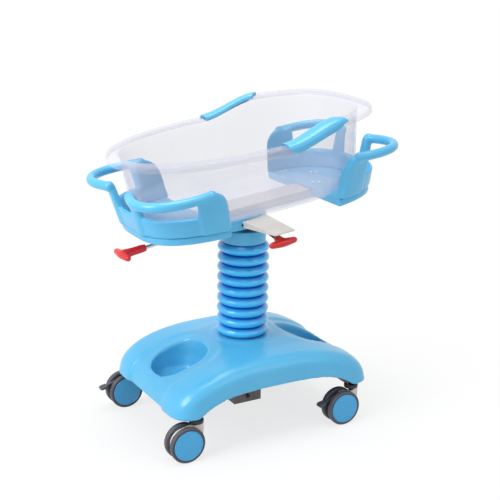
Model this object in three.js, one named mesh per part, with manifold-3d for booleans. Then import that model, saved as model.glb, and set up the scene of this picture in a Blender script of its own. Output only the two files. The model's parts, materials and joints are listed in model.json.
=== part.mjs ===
// Hospital bassinet: a clear tub on two end frames, a tilting carrier with two release levers,
// a telescopic column in a ribbed bellows, and a moulded base on four twin-wheel casters.
// Millimetres, +Z up, +X towards the head end. The near side, with the side lever, is -Y.

import * as THREE from 'three';
import { mergeVertices } from 'three/addons/utils/BufferGeometryUtils.js';
import Module from 'manifold-3d';

const wasm = await Module();
wasm.setup();

// Clearance between pieces that touch, facets on round pieces, and the finest edge kept after a cut.
const GAP = 0.3;
const ROUND_SEGMENTS = 20;
const SMALL_SEGMENTS = 12;
const SLIVER = 0.02;

// Casters: four twin-wheel swivel casters, the braked pair on one diagonal.
const WHEEL_DIAMETER = 100;
const WHEEL_WIDTH = 17;
const WHEEL_SPACING = 16;
const TYRE_ROUND = 5;
const CAP_DIAMETER = 86;
const CAP_THICKNESS = 3;
const AXLE_DIAMETER = 8;
const CASTER_END_INSET = 61;
const CASTER_SIDE_INSET = 27;
const CASTER_TRAIL = 34;
const HOOD_DIAMETER = 82;
const NECK_LENGTH = 38;
const KINGPIN_DIAMETER = 9;
const KINGPIN_DEPTH = 24;
const COLLAR_DIAMETER = 40;
const COLLAR_HEIGHT = 11;
const STEM_DIAMETER = 12;
const STEM_LENGTH = 32;
const PEDAL_WIDTH = 9;
const PEDAL_THICKNESS = 7;
const PEDAL_REACH = 22;
const PEDAL_PAD_WIDTH = 22;
const PEDAL_PIN_DIAMETER = 6;

// Chassis inside the base: inverted channels under the base cover.
const CHANNEL_WIDTH = 30;
const CHANNEL_HEIGHT = 28;
const CHANNEL_WALL = 3;

// Base cover: a moulded shell with a crowned top, arched sides and two pocket trays.
const BASE_LENGTH = 620;
const BASE_WIDTH = 448;
const BASE_SQUARENESS = 8;
const BASE_TOP = 247;
const BASE_END_DROP = 84;
const CROWN_SQUARENESS = 2.8;
const BASE_SIDE_DROP = 12;
const BASE_FILLET = 38;
const BASE_WAIST = 16;
const BASE_WALL = 4;
const SKIRT_FLARE = 4;
const SKIRT_RISE = 12;
const ARCH_RISE = 47;
const ARCH_SPAN = 494;
const ARCH_SQUARENESS = 4.5;
const SEAT_WIDTH = 10;
const SEAT_RISE = 4;
const POCKET_X = 203;
const POCKET_LENGTH = 156;
const POCKET_WIDTH = 152;
const POCKET_ROUNDNESS = 2.5;
const POCKET_TAPER = 9;

// Column: a steel box under the base, two telescopic tubes round a gas spring, and a bellows.
const BOX_LENGTH = 88;
const BOX_WIDTH = 80;
const BOX_BOTTOM = 44;
const BOX_WALL = 3;
const BOX_SCREW_HEIGHT = 18;
const SCREW_DIAMETER = 7;
const TUBE_DIAMETER = 72;
const TUBE_WALL = 3;
const OUTER_TUBE_TOP = 380;
const INNER_TUBE_BOTTOM = 200;
const BUSH_HEIGHT = 12;
const SPRING_DIAMETER = 28;
const SPRING_TOP = 330;
const ROD_DIAMETER = 10;
const ROD_BOTTOM = 200;
const BELLOWS_DIAMETER = 146;
const BELLOWS_BORE = 112;
const BELLOWS_TOP = 520;
const RIB_COUNT = 9;
const RIB_DEPTH = 13;
const RIB_ROWS = 4;
const SLEEVE_DIAMETER = 125;
const SLEEVE_WALL = 3;
const SLEEVE_TOP = 558;
const HEAD_PLATE = 12;

// Tilt: the carrier turns on a pin through the column head. The photographed tilt is the rest pose.
const PIVOT_HEIGHT = 600;
const TILT_DEGREES = 7;
const PIN_DIAMETER = 14;
const LUG_DIAMETER = 40;
const LUG_WIDTH = 60;
const SECTOR_RADIUS = 40;
const SECTOR_THICKNESS = 8;
const SECTOR_TEETH = 7;
const SECTOR_SWEEP_DEGREES = 48;
const SECTOR_TOOTH = 2.5;

// Carrier: a spine channel under the tub, with its cheeks on the pin and an arm over each lever.
// Heights from here on are measured from the pivot, along the tilted carrier.
const SPINE_WIDTH = 80;
const SPINE_WALL = 4;
const SPINE_BOTTOM = 6;
const SPINE_HUB_LENGTH = 90;
const SPINE_HUB_BOTTOM = -22;
const SPINE_OVERLAP = 92;
const ARM_TOP = -2;
const ARM_WALL = 3;
const ARM_ROOT_WIDTH = 80;
const ARM_TIP_WIDTH = 60;
const ARM_ROOT_DEPTH = 20;
const ARM_TIP_DEPTH = 4;
const SIDE_ARM_REACH = 215;
const FOOT_ARM_REACH = 255;

// Release levers and their red T-handles.
const LEVER_PIVOT_SETBACK = 18;
const LEVER_PIVOT_DROP = 11;
const LEVER_WIDTH = 14;
const LEVER_THICKNESS = 5;
const LEVER_PIN_DIAMETER = 8;
const LEVER_ROD_DIAMETER = 9;
const SIDE_HANDLE_REACH = 202;
const SIDE_HANDLE_DROP = 35;
const SIDE_HANDLE_STEM = 34;
const SIDE_HANDLE_LENGTH = 86;
const FOOT_HANDLE_REACH = 374;
const FOOT_HANDLE_DROP = 27;
const FOOT_HANDLE_STEM = 68;
const FOOT_HANDLE_LENGTH = 90;
const HANDLE_DIAMETER = 23;
const HANDLE_STEM_DIAMETER = 19;

// Tub: a clear basin with a rolled rim that steps up towards the head.
const RIM_LENGTH = 738;
const RIM_WIDTH = 486;
const RIM_FOOT_SQUARENESS = 2.15;
const RIM_HEAD_SQUARENESS = 3.2;
const RIM_FOOT_HEIGHT = 230;
const RIM_HEAD_RISE = 36;
const RAMP_FOOT_X = 17;
const RAMP_HEAD_X = 200;
const RIM_OVERHANG = 32;
const RIM_LIP = 19;
const TUB_WALL = 4;
const TUB_FLOOR_INSET = 80;
const TUB_STEP = 9;
const TUB_STEP_HEIGHT = 36;
const GRIP_WALL = 5;
const GRIP_CLEARANCE = 1.4;

// End frames: a tray under each end of the tub, and a guard with posts and handle bars on it.
const FRAME_LENGTH = 764;
const FOOT_FRAME_START = 178;
const HEAD_FRAME_START = 208;
const HEAD_FRAME_SHIFT = 25;
const TRAY_BOTTOM = 14;
const TRAY_HEIGHT = 22;
const TRAY_WALL = 5;
const TRAY_INSET = 46;
const TRAY_BEVEL = 6;
const GUARD_INSET = 18;
const GUARD_SLOPE = 24;
const GUARD_THICKNESS = 15;
const GUARD_LOW_TOP = 86;
const GUARD_POST_TOP = 152;
const SIDE_POST_LENGTH = 80;
const END_POST_OFFSET = 70;
const END_POST_WIDTH = 24;
const BAR_DIAMETER = 26;
const BAR_REACH = 42;
const BAR_DROP = 8;

// Derived places.
const TUBE_CLEARANCE = 0.5;
const WHEEL_RADIUS = WHEEL_DIAMETER / 2;
const CASTER_X = BASE_LENGTH / 2 - CASTER_END_INSET;
const CASTER_Y = BASE_WIDTH / 2 - CASTER_SIDE_INSET;
const SWIVEL_TOP = WHEEL_DIAMETER + 1;
const COLLAR_TOP = SWIVEL_TOP + GAP + COLLAR_HEIGHT;
const CHASSIS_BOTTOM = COLLAR_TOP + GAP;
const CHASSIS_TOP = CHASSIS_BOTTOM + CHANNEL_HEIGHT;
const RAIL_Y = BOX_WIDTH / 2 + GAP + CHANNEL_WIDTH / 2;
const SKIRT_LOW = SWIVEL_TOP + SKIRT_RISE;
const ARCH_TOP = SKIRT_LOW + ARCH_RISE;
const POCKET_FLOOR = CHASSIS_TOP + GAP + BASE_WALL;
const BOX_FLOOR = BOX_BOTTOM + BOX_WALL + GAP;
const INNER_TUBE_DIAMETER = TUBE_DIAMETER - 2 * (TUBE_WALL + TUBE_CLEARANCE);
const HEAD_BOTTOM = SLEEVE_TOP - SLEEVE_WALL - GAP - HEAD_PLATE;
const TRAY_TOP = TRAY_BOTTOM + TRAY_HEIGHT;
const SPINE_TOP = TRAY_TOP - TRAY_WALL - GAP;
const TUB_BOTTOM = TRAY_TOP + GAP;
const TILT = THREE.MathUtils.degToRad(TILT_DEGREES);

// Materials.
const SKY_BLUE = 0x5ab4e6;
const finish = (color, roughness, metalness = 0) => ({ color, roughness, metalness });
const BLUE_PLASTIC = finish(SKY_BLUE, 0.35);
const BELLOWS_RUBBER = finish(0x2a93dc, 0.3);
const CLEAR_PLASTIC = finish(0xe6e6f0, 0.15);
const RED_PLASTIC = finish(0xd61a14, 0.25);
const WHITE_STEEL = finish(0xe2dbd5, 0.4, 0.1);
const GREY_STEEL = finish(0x6e6464, 0.45, 0.6);
const BRIGHT_STEEL = finish(0xb8bcc2, 0.25, 1);
const DARK_STEEL = finish(0x303034, 0.4, 0.7);
const TYRE_RUBBER = finish(0x4b4b55, 0.6);
const BLACK_PLASTIC = finish(0x1c1c20, 0.5);
const HOOD_PLASTIC = finish(0xdcd6d0, 0.4);

/** A named mesh with a material of its own, added to its group. */
function place(group, name, geometry, look) {
  const mesh = new THREE.Mesh(geometry, new THREE.MeshStandardMaterial(look));
  mesh.name = name;
  group.add(mesh);
  return mesh;
}

/** A closed geometry as a solid that can be joined and cut. */
function solid(geometry) {
  const bare = geometry.clone();
  bare.deleteAttribute('normal');
  bare.deleteAttribute('uv');
  const merged = mergeVertices(bare, 1e-4);
  return new wasm.Manifold(new wasm.Mesh({
    numProp: 3,
    vertProperties: new Float32Array(merged.attributes.position.array),
    triVerts: new Uint32Array(merged.index.array),
  }));
}

/** The geometry of a joined or cut solid, without the slivers that a cut leaves. */
function shapeOf(body) {
  const mesh = body.simplify(SLIVER).getMesh();
  const geometry = new THREE.BufferGeometry();
  geometry.setAttribute('position', new THREE.BufferAttribute(mesh.vertProperties, 3));
  geometry.setIndex(new THREE.BufferAttribute(mesh.triVerts, 1));
  geometry.computeVertexNormals();
  return geometry;
}

const joined = (...geometries) => geometries.map(solid).reduce((all, next) => all.add(next));
const cut = (body, ...tools) => tools.map(solid).reduce((rest, tool) => rest.subtract(tool), body);

/** Turns the faces of a closed geometry outwards. */
function facingOut(geometry) {
  const position = geometry.attributes.position;
  const index = geometry.index.array;
  const corner = (i) => new THREE.Vector3().fromBufferAttribute(position, index[i]);
  let volume = 0;
  for (let i = 0; i < index.length; i += 3) {
    volume += corner(i).dot(corner(i + 1).cross(corner(i + 2)));
  }
  if (volume < 0) {
    for (let i = 0; i < index.length; i += 3) {
      [index[i], index[i + 1]] = [index[i + 1], index[i]];
    }
  }
  geometry.computeVertexNormals();
  return geometry;
}

/** A body of revolution about Z from a profile of [radius, height] points. */
function turned(profile, segments = ROUND_SEGMENTS) {
  const points = profile.map(([radius, height]) => new THREE.Vector2(radius, height));
  return facingOut(new THREE.LatheGeometry(points, segments).rotateX(Math.PI / 2));
}

/** A ring about Z whose profile closes on itself. */
const turnedRing = (profile, segments) => turned([...profile, profile[0]], segments);

/** A round bar between two heights on the Z axis. */
function roundBar(diameter, low, high, segments = ROUND_SEGMENTS) {
  const length = high - low;
  const bar = new THREE.CylinderGeometry(diameter / 2, diameter / 2, length, segments);
  return bar.rotateX(Math.PI / 2).translate(0, 0, low + length / 2);
}

/** A round tube between two heights on the Z axis. */
function roundTube(outer, inner, low, high) {
  return turnedRing([[inner / 2, low], [outer / 2, low], [outer / 2, high], [inner / 2, high]]);
}

/** A box from its lowest and highest corners. */
function block(low, high) {
  const size = high.map((value, axis) => value - low[axis]);
  const box = new THREE.BoxGeometry(...size);
  return box.translate(...low.map((value, axis) => value + size[axis] / 2));
}

/** A flat outline of [x, z] points, or a Shape, standing in the XZ plane with its width along Y. */
function slab(outline, width) {
  const shape = outline instanceof THREE.Shape ? outline : new THREE.Shape(outline.map((p) => new THREE.Vector2(...p)));
  const plate = new THREE.ExtrudeGeometry(shape, { depth: width, bevelEnabled: false, curveSegments: 8 });
  return plate.rotateX(Math.PI / 2).translate(0, width / 2, 0);
}

/** A ring seen along the axis in which it is flattest, as a section to cap. */
function flatSection(ring) {
  const size = new THREE.Box3().setFromPoints(ring).getSize(new THREE.Vector3()).toArray();
  const [u, v] = [0, 1, 2].filter((axis) => axis !== size.indexOf(Math.min(...size)));
  return ring.map((p) => new THREE.Vector2(p.getComponent(u), p.getComponent(v)));
}

/** A closed surface through rings of equal length. Its ends are capped as the flat section is. */
function skin(rings, section) {
  const count = rings[0].length;
  const points = rings.flat();
  const top = (rings.length - 1) * count;
  const faces = [];
  for (const [a, b, c] of THREE.ShapeUtils.triangulateShape(section ?? flatSection(rings[0]), [])) {
    faces.push(a, c, b);
    faces.push(top + a, top + b, top + c);
  }
  for (let i = 0; i < count; i += 1) {
    const next = (i + 1) % count;
    for (let row = 0; row < top; row += count) {
      faces.push(row + i, row + next, row + count + next);
      faces.push(row + i, row + count + next, row + count + i);
    }
  }
  const geometry = new THREE.BufferGeometry().setFromPoints(points);
  geometry.setIndex(faces);
  return facingOut(geometry);
}

/** The point of a rounded outline in a direction from its middle, squarer as its exponent grows. */
function ovalPoint(length, width, squareness, angle) {
  const along = Math.abs(Math.cos(angle)) / (length / 2);
  const across = Math.abs(Math.sin(angle)) / (width / 2);
  const radius = (along ** squareness + across ** squareness) ** (-1 / squareness);
  return new THREE.Vector2(radius * Math.cos(angle), radius * Math.sin(angle));
}

/** The other half-measure of a rounded outline, at a distance along one of its axes. */
function ovalReach(length, width, squareness, distance) {
  return (width / 2) * (1 - Math.abs(2 * distance / length) ** squareness) ** (1 / squareness);
}

/** Equal steps of angle round a full turn. */
const fullTurn = (count) => Array.from({ length: count }, (_, i) => (i / count) * 2 * Math.PI);

/** Equal steps from one value to another, both included. */
function steps(from, to, count) {
  return Array.from({ length: count + 1 }, (_, i) => from + ((to - from) * i) / count);
}

const bassinet = new THREE.Group();
const base = new THREE.Group();
const carrier = new THREE.Group();
carrier.position.z = PIVOT_HEIGHT;
carrier.rotation.y = -TILT;
bassinet.add(base, carrier);

// Casters. The swivel axis is the caster's own Z axis, and the wheels trail towards -X.
const WHEEL_INNER = WHEEL_SPACING / 2;
const WHEEL_OUTER = WHEEL_INNER + WHEEL_WIDTH;
const HOOD_WIDTH = WHEEL_SPACING - 2 * TUBE_CLEARANCE;
const BRAKED_HOOD_DIAMETER = HOOD_DIAMETER * 0.64;
const PEDAL_PIVOT = { x: 4, z: BRAKED_HOOD_DIAMETER / 2 + PEDAL_THICKNESS + 5 };
const PEDAL_EYE = PEDAL_PIN_DIAMETER / 2 + 3;

/** One wheel of a twin caster, its axle along Z, with a recess for its cap. */
function wheelShape() {
  const bore = AXLE_DIAMETER / 2 + GAP;
  const recess = CAP_DIAMETER / 2 + GAP;
  const shoulder = WHEEL_RADIUS - TYRE_ROUND;
  return turnedRing([
    [bore, WHEEL_INNER],
    [shoulder, WHEEL_INNER],
    [WHEEL_RADIUS, WHEEL_INNER + TYRE_ROUND],
    [WHEEL_RADIUS, WHEEL_OUTER - TYRE_ROUND],
    [shoulder, WHEEL_OUTER],
    [recess, WHEEL_OUTER],
    [recess, WHEEL_OUTER - CAP_THICKNESS],
    [bore, WHEEL_OUTER - CAP_THICKNESS],
  ]);
}

/** The disc that closes a wheel's outer face, slightly domed. */
function capShape() {
  const low = WHEEL_OUTER - CAP_THICKNESS + GAP;
  const edge = WHEEL_OUTER + CAP_THICKNESS / 6;
  return turned([
    [0, low],
    [CAP_DIAMETER / 2, low],
    [CAP_DIAMETER / 2, edge],
    [CAP_DIAMETER / 3, WHEEL_OUTER + CAP_THICKNESS / 2],
    [0, WHEEL_OUTER + CAP_THICKNESS / 2],
  ]);
}

/** The side outline of the hood: a disc round the axle and a neck under the collar. */
function hoodOutline(radius) {
  const front = NECK_LENGTH / 2;
  const low = Math.asin(-0.5);
  const shape = new THREE.Shape();
  shape.moveTo(-front, SWIVEL_TOP);
  shape.absarc(-CASTER_TRAIL, WHEEL_RADIUS, radius, Math.PI * 0.62, 2 * Math.PI + low, false);
  shape.quadraticCurveTo(front, WHEEL_RADIUS, front, SWIVEL_TOP - CASTER_TRAIL / 2);
  shape.lineTo(front, SWIVEL_TOP);
  return shape;
}

/** The hood that carries the axle and turns under the collar, with lugs where it holds a pedal. */
function hoodShape(braked) {
  const diameter = braked ? BRAKED_HOOD_DIAMETER : HOOD_DIAMETER;
  const axleBore = roundBar(AXLE_DIAMETER + 2 * GAP, -HOOD_WIDTH, HOOD_WIDTH, SMALL_SEGMENTS);
  axleBore.rotateX(Math.PI / 2).translate(-CASTER_TRAIL, 0, WHEEL_RADIUS);
  const pinBore = roundBar(
    KINGPIN_DIAMETER + 2 * GAP, SWIVEL_TOP - KINGPIN_DEPTH - GAP, SWIVEL_TOP + GAP, SMALL_SEGMENTS,
  );
  let body = solid(slab(hoodOutline(diameter / 2), HOOD_WIDTH));
  if (braked) {
    const cheek = HOOD_WIDTH / 2 - PEDAL_WIDTH / 2 - TUBE_CLEARANCE;
    const pin = roundBar(PEDAL_PIN_DIAMETER, -HOOD_WIDTH / 2, HOOD_WIDTH / 2, SMALL_SEGMENTS);
    pin.rotateX(Math.PI / 2).translate(PEDAL_PIVOT.x - CASTER_TRAIL, 0, PEDAL_PIVOT.z + WHEEL_RADIUS);
    body = body.add(solid(pin));
    for (const side of [-1, 1]) {
      const lug = slab([
        [PEDAL_PIVOT.x - PEDAL_EYE, 0],
        [PEDAL_PIVOT.x + CASTER_TRAIL / 2, 0],
        [PEDAL_PIVOT.x + CASTER_TRAIL / 2, PEDAL_PIVOT.z + PEDAL_PIN_DIAMETER / 2],
        [PEDAL_PIVOT.x, PEDAL_PIVOT.z + PEDAL_EYE],
        [PEDAL_PIVOT.x - PEDAL_EYE, PEDAL_PIVOT.z + PEDAL_PIN_DIAMETER / 2],
      ], cheek);
      lug.translate(-CASTER_TRAIL, side * (HOOD_WIDTH / 2 - cheek / 2), WHEEL_RADIUS);
      body = body.add(solid(lug));
    }
    const pedalRoom = PEDAL_EYE + TUBE_CLEARANCE;
    const window = block(
      [PEDAL_PIVOT.x - pedalRoom, -PEDAL_WIDTH / 2 - TUBE_CLEARANCE, PEDAL_PIVOT.z - pedalRoom],
      [PEDAL_PIVOT.x + pedalRoom, PEDAL_WIDTH / 2 + TUBE_CLEARANCE, PEDAL_PIVOT.z + 2 * pedalRoom],
    ).translate(-CASTER_TRAIL, 0, WHEEL_RADIUS);
    body = cut(body, window).add(solid(pin));
  }
  return shapeOf(cut(body, axleBore, pinBore));
}

/** The brake pedal: an eye on the hood's pin, an arm between the wheels and a pad past them. */
function pedalShape() {
  const tip = -WHEEL_RADIUS - PEDAL_REACH;
  const root = -WHEEL_RADIUS - PEDAL_REACH / 4;
  const low = PEDAL_PIVOT.z - PEDAL_REACH;
  const eye = roundBar(2 * PEDAL_EYE, -PEDAL_WIDTH / 2, PEDAL_WIDTH / 2, SMALL_SEGMENTS);
  eye.rotateX(Math.PI / 2).translate(PEDAL_PIVOT.x, 0, PEDAL_PIVOT.z);
  const half = PEDAL_THICKNESS / 2;
  const arm = slab([
    [PEDAL_PIVOT.x, PEDAL_PIVOT.z - half],
    [PEDAL_PIVOT.x, PEDAL_PIVOT.z + half],
    [root, low + PEDAL_THICKNESS],
    [tip, low + half],
    [tip, low],
    [root, low],
  ], PEDAL_WIDTH);
  const pad = slab([
    [root, low + PEDAL_THICKNESS],
    [tip, low + half],
    [tip - half, low - half],
    [tip, low - half],
    [root, low],
  ], PEDAL_PAD_WIDTH);
  const bore = roundBar(PEDAL_PIN_DIAMETER + 2 * GAP, -PEDAL_WIDTH, PEDAL_WIDTH, SMALL_SEGMENTS);
  bore.rotateX(Math.PI / 2).translate(PEDAL_PIVOT.x, 0, PEDAL_PIVOT.z);
  const body = cut(joined(eye, arm, pad), bore);
  return shapeOf(body).translate(-CASTER_TRAIL, 0, WHEEL_RADIUS);
}

/** The collar on which the hood swivels, with its kingpin below and its stem above. */
function collarShape() {
  const low = SWIVEL_TOP + GAP;
  const edge = COLLAR_HEIGHT / 6;
  return turned([
    [0, SWIVEL_TOP - KINGPIN_DEPTH],
    [KINGPIN_DIAMETER / 2, SWIVEL_TOP - KINGPIN_DEPTH],
    [KINGPIN_DIAMETER / 2, low],
    [COLLAR_DIAMETER / 2 - edge, low],
    [COLLAR_DIAMETER / 2, low + edge],
    [COLLAR_DIAMETER / 2, COLLAR_TOP],
    [STEM_DIAMETER / 2, COLLAR_TOP],
    [STEM_DIAMETER / 2, COLLAR_TOP + STEM_LENGTH],
    [0, COLLAR_TOP + STEM_LENGTH],
  ], SMALL_SEGMENTS);
}

const CASTERS = [
  { name: 'foot_near', x: -1, y: -1, braked: false },
  { name: 'foot_far', x: -1, y: 1, braked: true },
  { name: 'head_near', x: 1, y: -1, braked: true },
  { name: 'head_far', x: 1, y: 1, braked: false },
];

for (const { name, x, y, braked } of CASTERS) {
  const caster = new THREE.Group();
  caster.position.set(x * CASTER_X, y * CASTER_Y, 0);
  base.add(caster);
  place(caster, `caster_${name}_collar`, collarShape(), BLACK_PLASTIC);
  place(caster, `caster_${name}_hood`, hoodShape(braked), HOOD_PLASTIC);
  if (braked) {
    place(caster, `caster_${name}_brake_pedal`, pedalShape(), TYRE_RUBBER);
  }
  const axleEnd = WHEEL_OUTER - CAP_THICKNESS;
  const axle = roundBar(AXLE_DIAMETER, -axleEnd, axleEnd, SMALL_SEGMENTS);
  const parts = [place(caster, `caster_${name}_axle`, axle, BRIGHT_STEEL)];
  for (const [side, turn] of [['near', Math.PI / 2], ['far', -Math.PI / 2]]) {
    const wheel = place(caster, `caster_${name}_wheel_${side}`, wheelShape(), TYRE_RUBBER);
    const cap = place(caster, `caster_${name}_cap_${side}`, capShape(), BLUE_PLASTIC);
    wheel.rotation.x = turn;
    cap.rotation.x = turn;
    parts.push(wheel, cap);
  }
  parts[0].rotation.x = Math.PI / 2;
  for (const mesh of parts) {
    mesh.position.set(-CASTER_TRAIL, 0, WHEEL_RADIUS);
  }
}

// Chassis: two cross channels over the casters and two rails along the column box.
/** An inverted channel along X, between two ends, on the chassis height. */
function channel(halfLength) {
  const half = CHANNEL_WIDTH / 2;
  const bar = block([-halfLength, -half, CHASSIS_BOTTOM], [halfLength, half, CHASSIS_TOP]);
  const hollow = block(
    [-2 * halfLength, -half + CHANNEL_WALL, CHASSIS_BOTTOM - GAP],
    [2 * halfLength, half - CHANNEL_WALL, CHASSIS_TOP - CHANNEL_WALL],
  );
  return shapeOf(cut(solid(bar), hollow));
}

const CROSS_HALF = CASTER_Y + STEM_DIAMETER / 2;
let chassis = null;
for (const side of [-1, 1]) {
  const cross = channel(CROSS_HALF).rotateZ(Math.PI / 2).translate(side * CASTER_X, 0, 0);
  const rail = channel(CASTER_X).translate(0, side * RAIL_Y, 0);
  const pair = joined(cross, rail);
  chassis = chassis ? chassis.add(pair) : pair;
}
for (const { x, y } of CASTERS) {
  const hole = roundBar(STEM_DIAMETER + 2 * GAP, COLLAR_TOP, CHASSIS_TOP + STEM_LENGTH, SMALL_SEGMENTS);
  chassis = cut(chassis, hole.translate(x * CASTER_X, y * CASTER_Y, 0));
}
place(base, 'chassis', shapeOf(chassis), GREY_STEEL);

// Base cover. Its rows run from the bellows seat out over the crown and down the skirt.
const BASE_POINTS = 48;
const POCKET_POINTS = 20;
const SEAT_DIAMETER = BELLOWS_DIAMETER + 2 * SEAT_WIDTH;

/** The height of the crown, which falls to the ends and the sides and lies higher towards the head. */
function crownHeight(x, y) {
  const along = x / (BASE_LENGTH / 2);
  const across = y / (BASE_WIDTH / 2);
  const crown = BASE_TOP - SEAT_RISE - BASE_END_DROP * Math.abs(along) ** CROWN_SQUARENESS;
  return crown - BASE_SIDE_DROP * across ** 2 * (1 - along ** 2);
}
/** The height of the skirt's lower edge, arched along the sides. */
function archHeight(x) {
  const share = Math.min(1, Math.abs(x) / (ARCH_SPAN / 2));
  return ARCH_TOP - ARCH_RISE * share ** ARCH_SQUARENESS;
}

/** A ring of the cover, set in or out from the plan outline, at a height that follows its place. */
function coverRing(offset, heightAt) {
  return fullTurn(BASE_POINTS).map((angle) => {
    const p = ovalPoint(BASE_LENGTH + 2 * offset, BASE_WIDTH + 2 * offset, BASE_SQUARENESS, angle);
    const waist = BASE_WAIST * (1 - (2 * p.x / BASE_LENGTH) ** 2);
    const y = p.y * (1 - waist / (BASE_WIDTH / 2));
    return new THREE.Vector3(p.x, y, heightAt(p.x, y));
  });
}

/** The cover's rows, drawn in by a wall thickness, from the bellows seat to the foot of the skirt. */
function coverRows(wall) {
  const seat = [SEAT_DIAMETER / 2, SEAT_DIAMETER / 2 + SEAT_WIDTH].map((radius, i) => (
    fullTurn(BASE_POINTS).map((angle) => new THREE.Vector3(
      radius * Math.cos(angle), radius * Math.sin(angle), BASE_TOP - i * SEAT_RISE - wall,
    ))
  ));
  const crownWidth = (BASE_WIDTH - SEAT_DIAMETER) / 2 - SEAT_WIDTH - BASE_FILLET;
  const crown = [0.6, 0.25].map((share) => (
    coverRing(-BASE_FILLET - share * crownWidth - wall, (x, y) => crownHeight(x, y) - wall)
  ));
  const fillet = steps(0, Math.PI / 2, 4).map((turn) => coverRing(
    -BASE_FILLET * (1 - Math.sin(turn)) - wall,
    (x, y) => crownHeight(x, y) - BASE_FILLET * (1 - Math.cos(turn)) - wall,
  ));
  return [...seat, ...crown, ...fillet, coverRing(SKIRT_FLARE - wall, archHeight)];
}

/** The filled form of a pocket tray, widened by a wall, from a floor height up past the crown. */
function pocketForm(side, wall, floor) {
  const ring = (taper, z) => fullTurn(POCKET_POINTS).map((turn) => {
    const grown = 2 * (wall - taper);
    const angle = turn + Math.PI / POCKET_POINTS;
    const p = ovalPoint(POCKET_LENGTH + grown, POCKET_WIDTH + grown, POCKET_ROUNDNESS, angle);
    return new THREE.Vector3(side * POCKET_X + p.x, p.y, z);
  });
  return skin([ring(2 * POCKET_TAPER, floor), ring(POCKET_TAPER, floor + POCKET_TAPER), ring(0, BASE_TOP)]);
}

const coverOutside = solid(skin(coverRows(0)));
let cover = solid(skin([...coverRows(0), ...coverRows(BASE_WALL).reverse()]));
for (const side of [-1, 1]) {
  const cup = solid(pocketForm(side, BASE_WALL, POCKET_FLOOR - BASE_WALL)).intersect(coverOutside);
  cover = cut(cover.add(cup), pocketForm(side, 0, POCKET_FLOOR));
}
cover = cut(cover, roundBar(BELLOWS_BORE, ARCH_TOP, BASE_TOP + BASE_WALL));
place(base, 'base_cover', shapeOf(cover), BLUE_PLASTIC);

// Column box, hung between the rails by flanges on top of them, with the screw on its near face.
const BOX_TOP = CHASSIS_TOP + GAP + BOX_WALL;
const boxHalf = [BOX_LENGTH / 2, BOX_WIDTH / 2];
const boxOuter = block([-boxHalf[0], -boxHalf[1], BOX_BOTTOM], [boxHalf[0], boxHalf[1], BOX_TOP]);
const boxFlange = block(
  [-boxHalf[0], -RAIL_Y - CHANNEL_WIDTH / 2, CHASSIS_TOP + GAP],
  [boxHalf[0], RAIL_Y + CHANNEL_WIDTH / 2, BOX_TOP],
);
const boxHollow = block(
  [-boxHalf[0] + BOX_WALL, -boxHalf[1] + BOX_WALL, BOX_BOTTOM + BOX_WALL],
  [boxHalf[0] - BOX_WALL, boxHalf[1] - BOX_WALL, BOX_TOP + GAP],
);
/** A round hole or shank along Y at the screw's place on the near face. */
function atScrew(geometry) {
  return geometry.rotateX(Math.PI / 2).translate(0, -boxHalf[1], BOX_BOTTOM + BOX_SCREW_HEIGHT);
}
const screwHole = atScrew(roundBar(SCREW_DIAMETER + 2 * GAP, -2 * BOX_WALL, 2 * BOX_WALL, SMALL_SEGMENTS));
place(base, 'column_box', shapeOf(cut(joined(boxOuter, boxFlange), boxHollow, screwHole)), GREY_STEEL);
place(base, 'column_box_screw', atScrew(turned([
  [0, -BOX_WALL],
  [SCREW_DIAMETER / 2, -BOX_WALL],
  [SCREW_DIAMETER / 2, GAP],
  [SCREW_DIAMETER, GAP],
  [SCREW_DIAMETER * 0.8, SCREW_DIAMETER / 2],
  [0, SCREW_DIAMETER / 2],
], SMALL_SEGMENTS)), DARK_STEEL);

// Telescopic column and gas spring.
const TUBE_BORE = TUBE_DIAMETER - 2 * TUBE_WALL;
const INNER_TUBE_BORE = INNER_TUBE_DIAMETER - 2 * TUBE_WALL;
place(base, 'column_outer_tube', roundTube(TUBE_DIAMETER, TUBE_BORE, BOX_FLOOR, OUTER_TUBE_TOP), BRIGHT_STEEL);
place(base, 'column_guide_bush', roundTube(
  TUBE_DIAMETER, TUBE_BORE, OUTER_TUBE_TOP + GAP, OUTER_TUBE_TOP + GAP + BUSH_HEIGHT,
), BLACK_PLASTIC);
place(base, 'column_inner_tube', roundTube(
  INNER_TUBE_DIAMETER, INNER_TUBE_BORE, INNER_TUBE_BOTTOM, HEAD_BOTTOM - GAP,
), BRIGHT_STEEL);
const rodBore = ROD_DIAMETER / 2 + TUBE_CLEARANCE;
place(base, 'gas_spring_cylinder', turned([
  [0, BOX_FLOOR],
  [SPRING_DIAMETER / 2, BOX_FLOOR],
  [SPRING_DIAMETER / 2, SPRING_TOP],
  [rodBore, SPRING_TOP],
  [rodBore, BOX_FLOOR + SPRING_DIAMETER],
  [0, BOX_FLOOR + SPRING_DIAMETER],
]), BLACK_PLASTIC);
place(base, 'gas_spring_rod', roundBar(ROD_DIAMETER, ROD_BOTTOM, HEAD_BOTTOM - GAP, SMALL_SEGMENTS), BRIGHT_STEEL);

// Bellows: rounded ribs outside and a plain bore inside.
const bellowsFoot = BASE_TOP + GAP;
const ribPitch = (BELLOWS_TOP - bellowsFoot) / RIB_COUNT;
const ribValley = BELLOWS_DIAMETER / 2 - RIB_DEPTH;
const ribs = steps(0, RIB_COUNT, RIB_COUNT * RIB_ROWS).map((turn) => {
  const swell = Math.sqrt(Math.abs(Math.sin(Math.PI * turn)));
  return [ribValley + RIB_DEPTH * swell, bellowsFoot + ribPitch * turn];
});
place(base, 'bellows', turnedRing([
  [BELLOWS_BORE / 2, bellowsFoot], ...ribs, [BELLOWS_BORE / 2, BELLOWS_TOP],
]), BELLOWS_RUBBER);

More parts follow.
